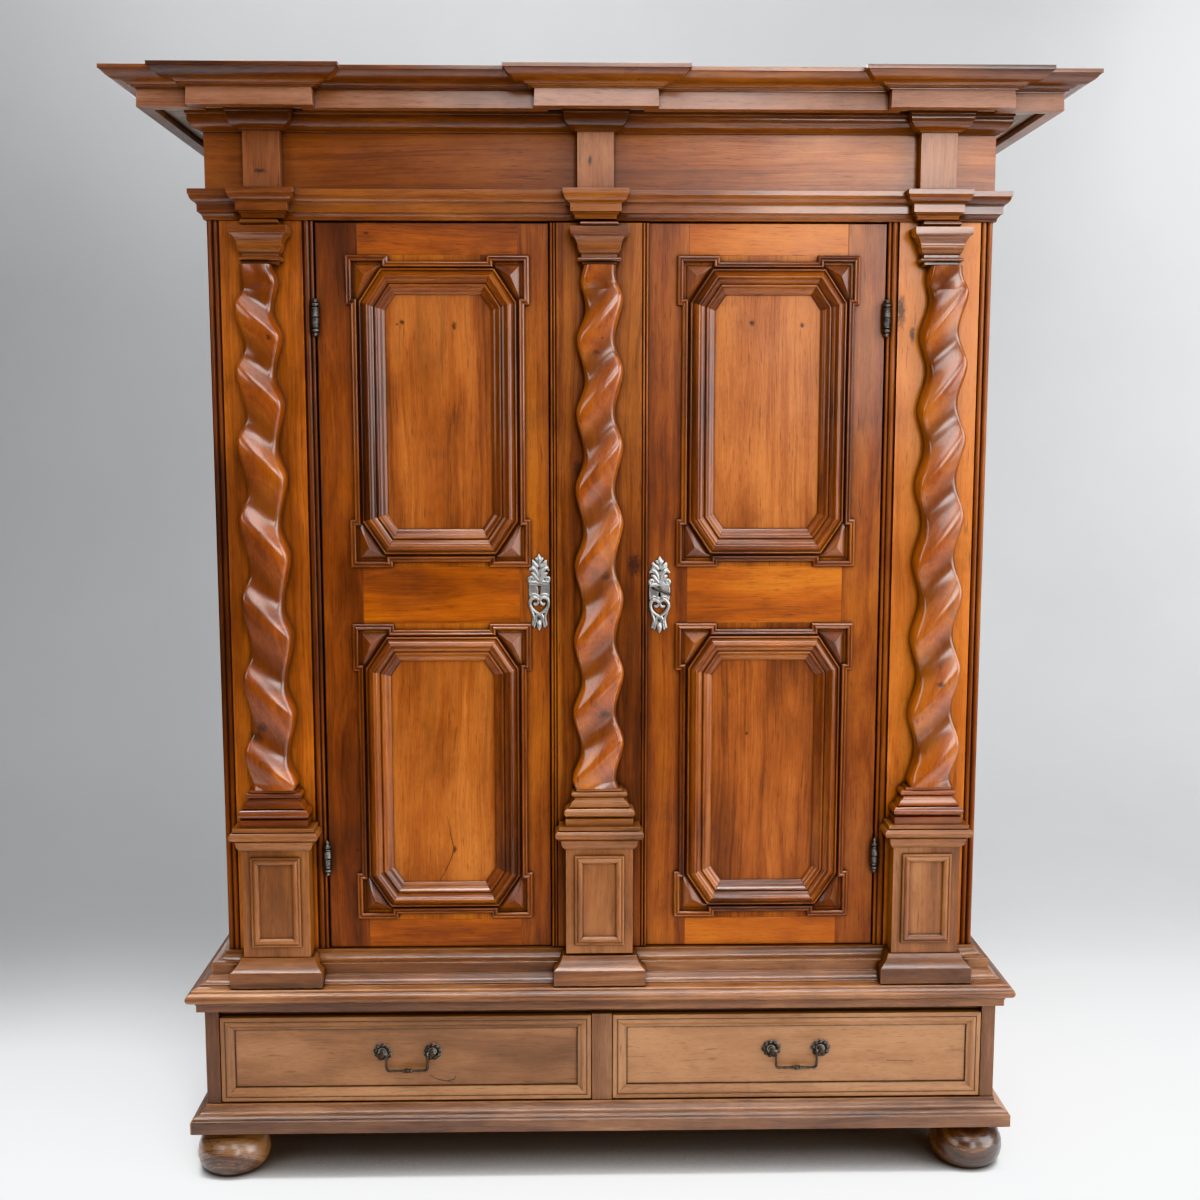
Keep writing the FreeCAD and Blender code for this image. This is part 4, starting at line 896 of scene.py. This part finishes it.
# ----- relief of the lock plates
def stroke(points, y0, lift=0.0, grow=0.0, flat=False, seg=10, n=5, ox=0.0, oz=0.0, flip=1):
    """A tapering half-round rib along (x, z, half width, height) in mm on the plane y0, standing towards -Y."""
    pts = spline([tuple(p) for p in points], n)
    pts = [p for i, p in enumerate(pts) if i == 0 or math.dist(p[:2], pts[i - 1][:2]) > 0.05]
    P, F = [], []
    m = seg + 1
    for i, (x, z, w, h) in enumerate(pts):
        a, b = pts[max(0, i - 1)], pts[min(len(pts) - 1, i + 1)]
        dx, dz = b[0] - a[0], b[1] - a[1]
        L = math.hypot(dx, dz) or 1.0
        nx, nz_ = -dz / L, dx / L
        w = max(0.15, w + grow)
        h = max(0.15, h) + lift
        for k in range(m):
            t = math.pi * k / seg
            c, s = math.cos(t), math.sin(t)
            if flat:
                c, s = math.copysign(abs(c) ** 0.4, c), s ** 0.4
            P.append((ox + flip * (x + nx * w * c) / 1000, y0 - h * s / 1000, oz + (z + nz_ * w * c) / 1000))
    for i in range(len(pts) - 1):
        for k in range(seg):
            q = i * m + k
            F.append((q, q + 1, q + m + 1, q + m))
        F.append((i * m, (i + 1) * m, (i + 1) * m + seg, i * m + seg))
    F.append(tuple(range(m)))
    e = (len(pts) - 1) * m
    F.append(tuple(reversed(range(e, e + m))))
    return P, F


def spiral(cx, cz, r0, r1, a0, turns, w0, w1, h0, h1, n=22):
    out = []
    for i in range(n + 1):
        t = i / n
        a = math.radians(a0 + 360 * turns * t)
        r = r0 + (r1 - r0) * t
        out.append((cx + r * math.cos(a), cz + r * math.sin(a), w0 + (w1 - w0) * t, h0 + (h1 - h0) * t))
    return out


HALF = [
    [(1.0, 143.0, 2.2, 1.4), (4.5, 147.0, 2.6, 1.8), (6.6, 151.5, 0.7, 0.6)],
    [(1.5, 131.0, 1.8, 1.4), (7.0, 136.5, 3.4, 2.4), (12.0, 141.5, 3.0, 2.0), (14.0, 146.5, 0.7, 0.5)],
    [(5.0, 133.5, 2.2, 1.4), (11.5, 136.5, 2.6, 1.6), (15.8, 139.3, 0.7, 0.5)],
    [(2.5, 111.0, 2.2, 1.4), (5.0, 120.5, 3.2, 2.2), (10.5, 127.5, 3.4, 2.8), (16.0, 128.8, 2.8, 2.0), (20.6, 124.6, 0.8, 0.6)],
    [(8.5, 130.0, 1.6, 1.2), (13.5, 133.0, 2.0, 1.4), (17.5, 131.6, 0.7, 0.6)],
    [(1.5, 104.5, 2.4, 1.4), (7.0, 110.5, 3.2, 2.2), (12.0, 117.5, 3.2, 2.2), (17.0, 118.8, 1.0, 0.8)],
    [(1.0, 98.5, 2.0, 1.2), (7.0, 101.5, 2.2, 1.6), (12.5, 101.0, 2.2, 1.8)] + spiral(16.2, 106.5, 5.4, 1.2, -100, 1.45, 2.2, 1.4, 2.2, 1.6),
    [(19.4, 97.5, 1.2, 1.4), (19.9, 86.0, 1.2, 1.4), (19.3, 73.5, 1.2, 1.2)],
    [(7.5, 96.3, 0.9, 1.0), (13.0, 96.0, 0.9, 1.0), (18.5, 95.8, 0.9, 1.0)],
    [(15.3, 93.0, 0.7, 0.7), (15.7, 85.0, 0.7, 0.7), (15.0, 76.0, 0.7, 0.7)],
    [(0.0, 99.4, 1.1, 1.0), (4.9, 97.0, 1.1, 1.0), (6.1, 92.2, 1.1, 1.0), (4.2, 87.0, 1.0, 1.0), (4.0, 80.0, 1.0, 1.0), (4.2, 74.5, 0.9, 0.9)],
    [(0.0, 70.5, 1.7, 1.8), (5.0, 74.8, 1.8, 2.1), (11.0, 76.3, 1.8, 2.1), (16.5, 73.8, 1.7, 1.9), (20.0, 70.0, 0.9, 1.0)],
    [(0.0, 63.0, 1.8, 1.8), (4.5, 68.4, 2.6, 2.8), (10.5, 70.0, 2.9, 3.1), (16.2, 66.5, 2.7, 2.9), (18.8, 58.0, 2.5, 2.7),
     (16.9, 48.5, 2.3, 2.5), (10.5, 41.5, 2.1, 2.3), (2.5, 36.5, 1.7, 1.9), (-3.5, 32.5, 1.2, 1.2)],
    [(1.5, 61.0, 1.4, 1.4), (4.0, 56.5, 1.8, 1.8), (8.5, 55.2, 1.9, 1.8), (10.6, 58.6, 1.2, 1.2)],
    [(17.5, 52.0, 1.3, 1.2), (14.8, 40.0, 1.8, 1.6), (11.6, 31.5, 1.8, 1.6), (11.2, 23.5, 2.2, 1.8), (13.6, 15.5, 2.0, 1.6), (16.0, 11.0, 0.6, 0.5)],
    [(3.5, 35.5, 1.3, 1.2), (7.2, 28.0, 1.8, 1.6), (8.2, 20.0, 2.0, 1.7), (10.2, 12.0, 1.7, 1.3), (11.4, 8.0, 0.5, 0.5)],
]
MIDDLE = [
    [(0.3, 138.0, 2.2, 1.4), (0.6, 145.5, 4.4, 2.4), (0.2, 152.0, 3.6, 2.2), (-0.6, 159.0, 0.6, 0.6)],
    [(0.0, 104.0, 1.2, 1.0), (0.0, 113.0, 1.6, 1.4), (0.0, 122.0, 1.4, 1.2)],
    [(0.0, 22.5, 1.8, 1.4), (0.0, 14.5, 4.6, 2.8), (0.2, 8.0, 3.8, 2.2), (0.0, 0.8, 0.5, 0.5)],
]
SPINE = [
    [(0.0, 99.0, 17.0, 0.4), (0.0, 104.0, 12.0, 0.4), (0.0, 112.0, 6.5, 0.4), (0.0, 120.0, 5.0, 0.4), (0.0, 130.0, 5.5, 0.4), (0.0, 140.0, 3.0, 0.4), (0.0, 148.0, 2.0, 0.3)],
    [(0.0, 34.0, 6.0, 0.4), (0.0, 28.0, 7.5, 0.4), (0.0, 20.0, 6.5, 0.4), (0.0, 13.0, 3.0, 0.3)],
]


def lock_plate(node, xc, z0, lean):
    bag = Bag()
    y0, back = -0.1883, -0.1881
    r = rng(node)
    for flip in (1, -1):
        for k, s in enumerate(HALF):
            js = [(x * (1 + r.uniform(-0.02, 0.02)) + lean * (0.6 if flip > 0 else -0.2), z + r.uniform(-0.5, 0.5), w, h) for x, z, w, h in s]
            bag.add(*stroke(js, y0, 1.9, 0.35 if k not in (8, 9, 10) else 0.0, ox=xc, oz=z0, flip=flip))
            if k not in (8, 9):
                bag.add(*stroke(js, back, 1.2, 1.1, True, ox=xc, oz=z0, flip=flip))
    for s in MIDDLE:
        bag.add(*stroke(s, y0, 1.9, ox=xc, oz=z0))
        bag.add(*stroke(s, back, 1.2, 0.5, True, ox=xc, oz=z0))
    for s in SPINE:
        bag.add(*stroke(s, back, 2.3, 0.0, True, ox=xc, oz=z0))
    nails = Bag()
    for px, pz, pr, ph in ((1.0, 130.5, 3.3, 2.8), (-0.3, 27.5, 3.5, 3.0)):
        prof = [(pr * math.cos(a), ph * math.sin(a) + 2.0) for a in [math.pi / 2 * i / 7 for i in range(7)]] + [(0.05, ph + 2.0)]
        prof = [(pr, 0.3)] + prof
        nails.add(*lathe([(p / 1000, h / 1000) for p, h in prof], 22, (xc + px / 1000, y0, z0 + pz / 1000), "-y"))
    nails.piece(node + "_nails", BODY[node], "iron", STEEL)
    # the flat field with the keyhole, cut from the plate
    P, tris = solids(node)[0]
    bm = bmesh.new()
    vs = [bm.verts.new(p) for p in P]
    for t in tris:
        bm.faces.new([vs[k] for k in t])
    for zc, sgn in ((z0 + 0.0735, -1), (z0 + 0.1005, 1)):
        g = bm.verts[:] + bm.edges[:] + bm.faces[:]
        cut = bmesh.ops.bisect_plane(bm, geom=g, dist=1e-6, plane_co=(0, 0, zc), plane_no=(0, 0, sgn), clear_outer=True)
        bmesh.ops.holes_fill(bm, edges=[e for e in cut["geom_cut"] if isinstance(e, bmesh.types.BMEdge)], sides=0)
    bm.verts.index_update()
    bag.add([tuple(v.co) for v in bm.verts], [tuple(v.index for v in f.verts) for f in bm.faces])
    bm.free()
    o = bag.piece(node + "_look", BODY[node], "pewter", MAT["pewter"], node)
    o.data.set_sharp_from_angle(angle=math.radians(38))
    return o


lock_plate("left_escutcheon", -0.1282, 1.1455, 1.0)
lock_plate("right_escutcheon", 0.118, 1.140, -1.0)


# ----- drawer handles
def rosette(x, z, seed):
    """Chased round plate with uneven petals, and the post that holds the bail."""
    r = rng(f"rosette{seed}")
    bag = Bag()
    rings_, steps, petals = 18, 108, 9
    turn = r.uniform(0, 6.28)
    size = [r.uniform(0.90, 1.05) for _ in range(petals)]
    P, F = [], []
    for i in range(rings_ + 1):
        rho = i / rings_
        for k in range(steps):
            a = 2 * math.pi * k / steps
            f = (a + turn) / (2 * math.pi) * petals
            j, u = int(f) % petals, f % 1.0
            lobe = math.sin(math.pi * u) ** 0.5
            rim = size[j] * (0.84 + 0.15 * lobe)
            rr = 0.0203 * rho * (1 + (rim - 1) * rho ** 2)
            h = 0.0009 + 0.0032 * math.exp(-((rho - 0.70) / 0.20) ** 2) * (0.30 + 0.70 * lobe)
            h += 0.0014 * math.exp(-((rho - 0.70) / 0.14) ** 2) * math.exp(-((u - 0.5) / 0.12) ** 2)
            h += 0.0042 * math.exp(-(rho / 0.27) ** 4)
            h -= 0.0006 * math.exp(-((rho - 0.42) / 0.06) ** 2)
            P.append((x + rr * math.cos(a), -0.2262 - h, z + rr * math.sin(a)))
    for i in range(rings_):
        for k in range(steps):
            l = (k + 1) % steps
            F.append((i * steps + k, i * steps + l, (i + 1) * steps + l, (i + 1) * steps + k))
    b = len(P)
    for k in range(steps):
        q = P[rings_ * steps + k]
        P.append((q[0], -0.2260, q[2]))
    for k in range(steps):
        l = (k + 1) % steps
        F.append((rings_ * steps + k, rings_ * steps + l, b + l, b + k))
    F.append(tuple(b + k for k in range(steps)))
    bag.add(P, F)
    prof = [(0.0046, 0.004), (0.0046, 0.0085), (0.0058, 0.0092), (0.0060, 0.0102), (0.0046, 0.0112), (0.0045, 0.0162),
            (0.0058, 0.0170), (0.0064, 0.0182), (0.0060, 0.0196), (0.0045, 0.0208), (0.0022, 0.0214), (0.0002, 0.0215)]
    bag.add(*lathe(prof, 28, (x, -0.226, z), "-y"))
    return bag


def tube(path, radii, seg=14):
    P, F = [], []
    pts = [Vector(p) for p in path]
    for i, p in enumerate(pts):
        d = (pts[min(i + 1, len(pts) - 1)] - pts[max(i - 1, 0)]).normalized()
        u = Vector((0, 1, 0))
        v = d.cross(u).normalized()
        u = v.cross(d).normalized()
        for k in range(seg):
            a = 2 * math.pi * k / seg
            P.append(tuple(p + (u * math.cos(a) + v * math.sin(a)) * radii[i]))
    for i in range(len(pts) - 1):
        for k in range(seg):
            l = (k + 1) % seg
            F.append((i * seg + k, i * seg + l, (i + 1) * seg + l, (i + 1) * seg + k))
    F.append(tuple(reversed(range(seg))))
    F.append(tuple((len(pts) - 1) * seg + k for k in range(seg)))
    return P, F


def bail(xc):
    """Drop bail: round legs, a bar with a knop of three rings and swelling ends."""
    y, zp, zb, w = -0.2385, 0.264, 0.2270, 0.0425
    path, rad = [], []
    half = [(w - 0.0005, zp + 0.0022, 0.0024), (w, zp, 0.0034), (w, zp - 0.003, 0.0034), (w, zp - 0.006, 0.0025),
            (w + 0.0003, zp - 0.013, 0.0023), (w + 0.0003, zp - 0.020, 0.0024), (w, zp - 0.027, 0.0027),
            (w - 0.0003, zb + 0.0058, 0.0029), (w - 0.0016, zb + 0.0024, 0.0031), (w - 0.0042, zb + 0.0003, 0.0032),
            (w - 0.008, zb, 0.0030), (w - 0.011, zb, 0.0023), (w - 0.014, zb, 0.0024), (w - 0.017, zb, 0.0030),
            (w - 0.019, zb, 0.0031), (w - 0.021, zb, 0.0024), (0.0150, zb, 0.0023), (0.0115, zb, 0.0026),
            (0.0092, zb, 0.0031), (0.0086, zb, 0.0042), (0.0070, zb, 0.0045), (0.0054, zb, 0.0041), (0.0047, zb, 0.0030),
            (0.0036, zb, 0.0030), (0.0029, zb, 0.0047), (0.0012, zb, 0.0050)]
    for x, z, r in half:
        path.append((xc + x, y, z))
        rad.append(r)
    for x, z, r in reversed(half):
        path.append((xc - x, y, z))
        rad.append(r)
    bag = Bag()
    bag.add(*tube(path, rad))
    for s in (-1, 1):   # pins into the posts
        bag.add(*tube([(xc + s * w, y, zp), (xc + s * (w + 0.0065), y, zp), (xc + s * (w + 0.0142), y, zp)], [0.0027, 0.0026, 0.0024]))
    return bag


for k, (side, xc) in enumerate((("left", -0.407), ("right", 0.407))):
    bag = Bag()
    for s in (-1, 1):
        b = rosette(xc + s * 0.052, 0.264, 2 * k + (s > 0))
        bag.add(b.P, b.F)
    n = f"{side}_drawer_handle_plates"
    o = bag.piece(n + "_look", BODY[n], "iron", MAT["iron"], n)
    o.data.set_sharp_from_angle(angle=math.radians(50))
    n = f"{side}_drawer_bail"
    bail(xc).piece(n + "_look", BODY[n], "iron", MAT["iron"], n)


# ------------------------------------------------------------ floor and light
def stage_material():
    t = Tree("pale_floor")
    obj = t.node("ShaderNodeTexCoord").outputs["Object"]
    n = t.noise(obj, scale=1.2, detail=3.0)
    colour = t.ramp(n, [(0.3, (0.80, 0.81, 0.82)), (0.7, (0.84, 0.85, 0.86))])
    wx, wy, wz = t.split(obj)
    # painted shade: the floor and backdrop are darkened towards the back, more on the left and less high up, for the
    # uneven studio light
    wall = t.math("MULTIPLY", t.smooth(wy, 0.2, 1.5), t.smooth(wx, 3.0, -2.0, 0.08, 0.48))
    wall = t.math("MULTIPLY", wall, t.smooth(wz, 1.8, 4.0, 1.0, 0.20))
    colour = t.mix(wall, colour, (0.36, 0.36, 0.36))
    # painted shadow: the floor is darkened under and around the object where the ao finds it
    floor_shadow_mask = t.smooth(t.ao(0.55, samples=8), 0.10, 0.62, 0.88, 0.0)
    colour = t.mix(floor_shadow_mask, colour, (0.10, 0.075, 0.055))
    return t.finish(colour, 0.55, spec=0.3)


W, yb, rc, zt = 9.0, 5.0, 2.4, 7.0
prof = [(-4.6, 0.0), (yb - rc, 0.0)]
prof += [(yb - rc + rc * math.sin(a), rc - rc * math.cos(a)) for a in [math.pi / 2 * i / 24 for i in range(1, 25)]]
prof.append((yb, zt))
P = [(s * W, y, z) for y, z in prof for s in (-1, 1)]
F = [(2 * i, 2 * i + 1, 2 * i + 3, 2 * i + 2) for i in range(len(prof) - 1)]
me = mesh_from("studio_floor", P, F)
me.materials.append(stage_material())
me.shade_smooth()
floor = bpy.data.objects.new("studio_floor", me)
scene.collection.objects.link(floor)


def area(name, loc, target, size, power, colour=(1, 1, 1), size_y=None, spread=180):
    d = bpy.data.lights.new(name, "AREA")
    d.energy = power
    d.color = colour
    d.shape = "RECTANGLE"
    d.size = size
    d.size_y = size_y or size
    d.spread = math.radians(spread)
    o = bpy.data.objects.new(name, d)
    o.location = loc
    o.rotation_euler = (Vector(target) - Vector(loc)).to_track_quat("-Z", "Y").to_euler()
    o.visible_camera = False
    scene.collection.objects.link(o)
    return o


area("over_top", (0.6, -2.0, 4.3), (0.1, 0.0, 1.1), 3.4, 12, (1.0, 0.995, 0.985), 1.3, 110)
area("over_front", (0.10, -3.5, 3.5), (0.0, -0.2, 1.5), 1.5, 10, (1.0, 0.99, 0.98), 1.3, 80)
area("window", (1.75, -5.6, 2.5), (0.2, 0.0, 1.6), 1.6, 21, (1.0, 0.99, 0.975), 2.0, 80)
area("side_right", (3.9, -1.8, 2.0), (0.2, 0.0, 1.0), 3.0, 68, (1.0, 1.0, 1.0), 3.8, 100)
area("side_left", (-3.7, -2.4, 2.2), (-0.2, 0.0, 1.2), 0.25, 3.2, (0.98, 0.99, 1.0), 2.6)
area("fill_left", (-2.8, -3.2, 2.4), (0.0, 0.0, 1.2), 1.6, 20, (1.0, 1.0, 1.0), 2.0, 120)
area("fill_right", (3.0, -3.6, 2.6), (0.3, 0.0, 1.3), 2.4, 12, (1.0, 1.0, 1.0), 2.4, 120)
area("wall_wash", (5.0, 3.0, 3.6), (3.5, 5.0, 1.4), 1.8, 88, (1.0, 1.0, 1.0), 2.6)
area("wall_top", (-0.8, 2.8, 5.0), (-0.8, 5.0, 2.2), 4.5, 52, (1.0, 1.0, 1.0), 1.2)
area("back_light", (-1.4, 3.9, 3.4), (0.0, 0.4, 1.5), 1.6, 9, (1.0, 1.0, 1.0), 1.2, 60)
area("floor_wash", (0.3, -0.6, 3.9), (0.3, -0.6, 0.0), 4.6, 33, (0.99, 1.0, 1.0), 0.9, 45)
area("floor_glow", (1.0, -2.6, 0.02), (1.0, -2.6, 1.0), 1.3, 8.0, (1.0, 1.0, 1.0), 1.0)


def studio_air():
    """The studio around the object: bright above and to the right, dim behind the camera."""
    w = bpy.data.worlds.new("studio_air")
    scene.world = w
    w.use_nodes = True
    t = Tree.__new__(Tree)
    t.t = w.node_tree
    t.t.nodes.clear()
    d = t.node("ShaderNodeTexCoord").outputs["Generated"]
    x, y, z = t.split(d)
    above = t.smooth(z, 0.22, 0.62)
    right = t.smooth(x, 0.35, 0.95)
    left = t.smooth(x, -0.45, -0.98)
    below = t.smooth(z, -0.10, -0.45)
    s = t.math("MULTIPLY_ADD", above, 0.26, 0.016)
    s = t.math("MULTIPLY_ADD", right, 0.085, s)
    s = t.math("MULTIPLY_ADD", left, 0.052, s)
    s = t.math("MULTIPLY_ADD", below, 0.062, s)
    b = t.node("ShaderNodeBackground")
    b.inputs[0].default_value = (0.93, 0.96, 1.0, 1.0)
    t.put(b.inputs[1], s)
    o = t.node("ShaderNodeOutputWorld")
    t.t.links.new(b.outputs[0], o.inputs[0])


studio_air()
scene.view_settings.view_transform = "Khronos PBR Neutral"

cam = bpy.data.cameras.new("camera")
cam.lens = 43.46
cam.sensor_width = 36.0
cam.sensor_fit = "HORIZONTAL"
cam.clip_end = 60.0
camo = bpy.data.objects.new("camera", cam)
camo.location = (-0.0638, -3.130, 1.5607)
camo.rotation_euler = (math.radians(90 - 6.8128), 0.0, math.radians(-1.1673))
scene.collection.objects.link(camo)
scene.camera = camo

bpy.context.view_layer.update()
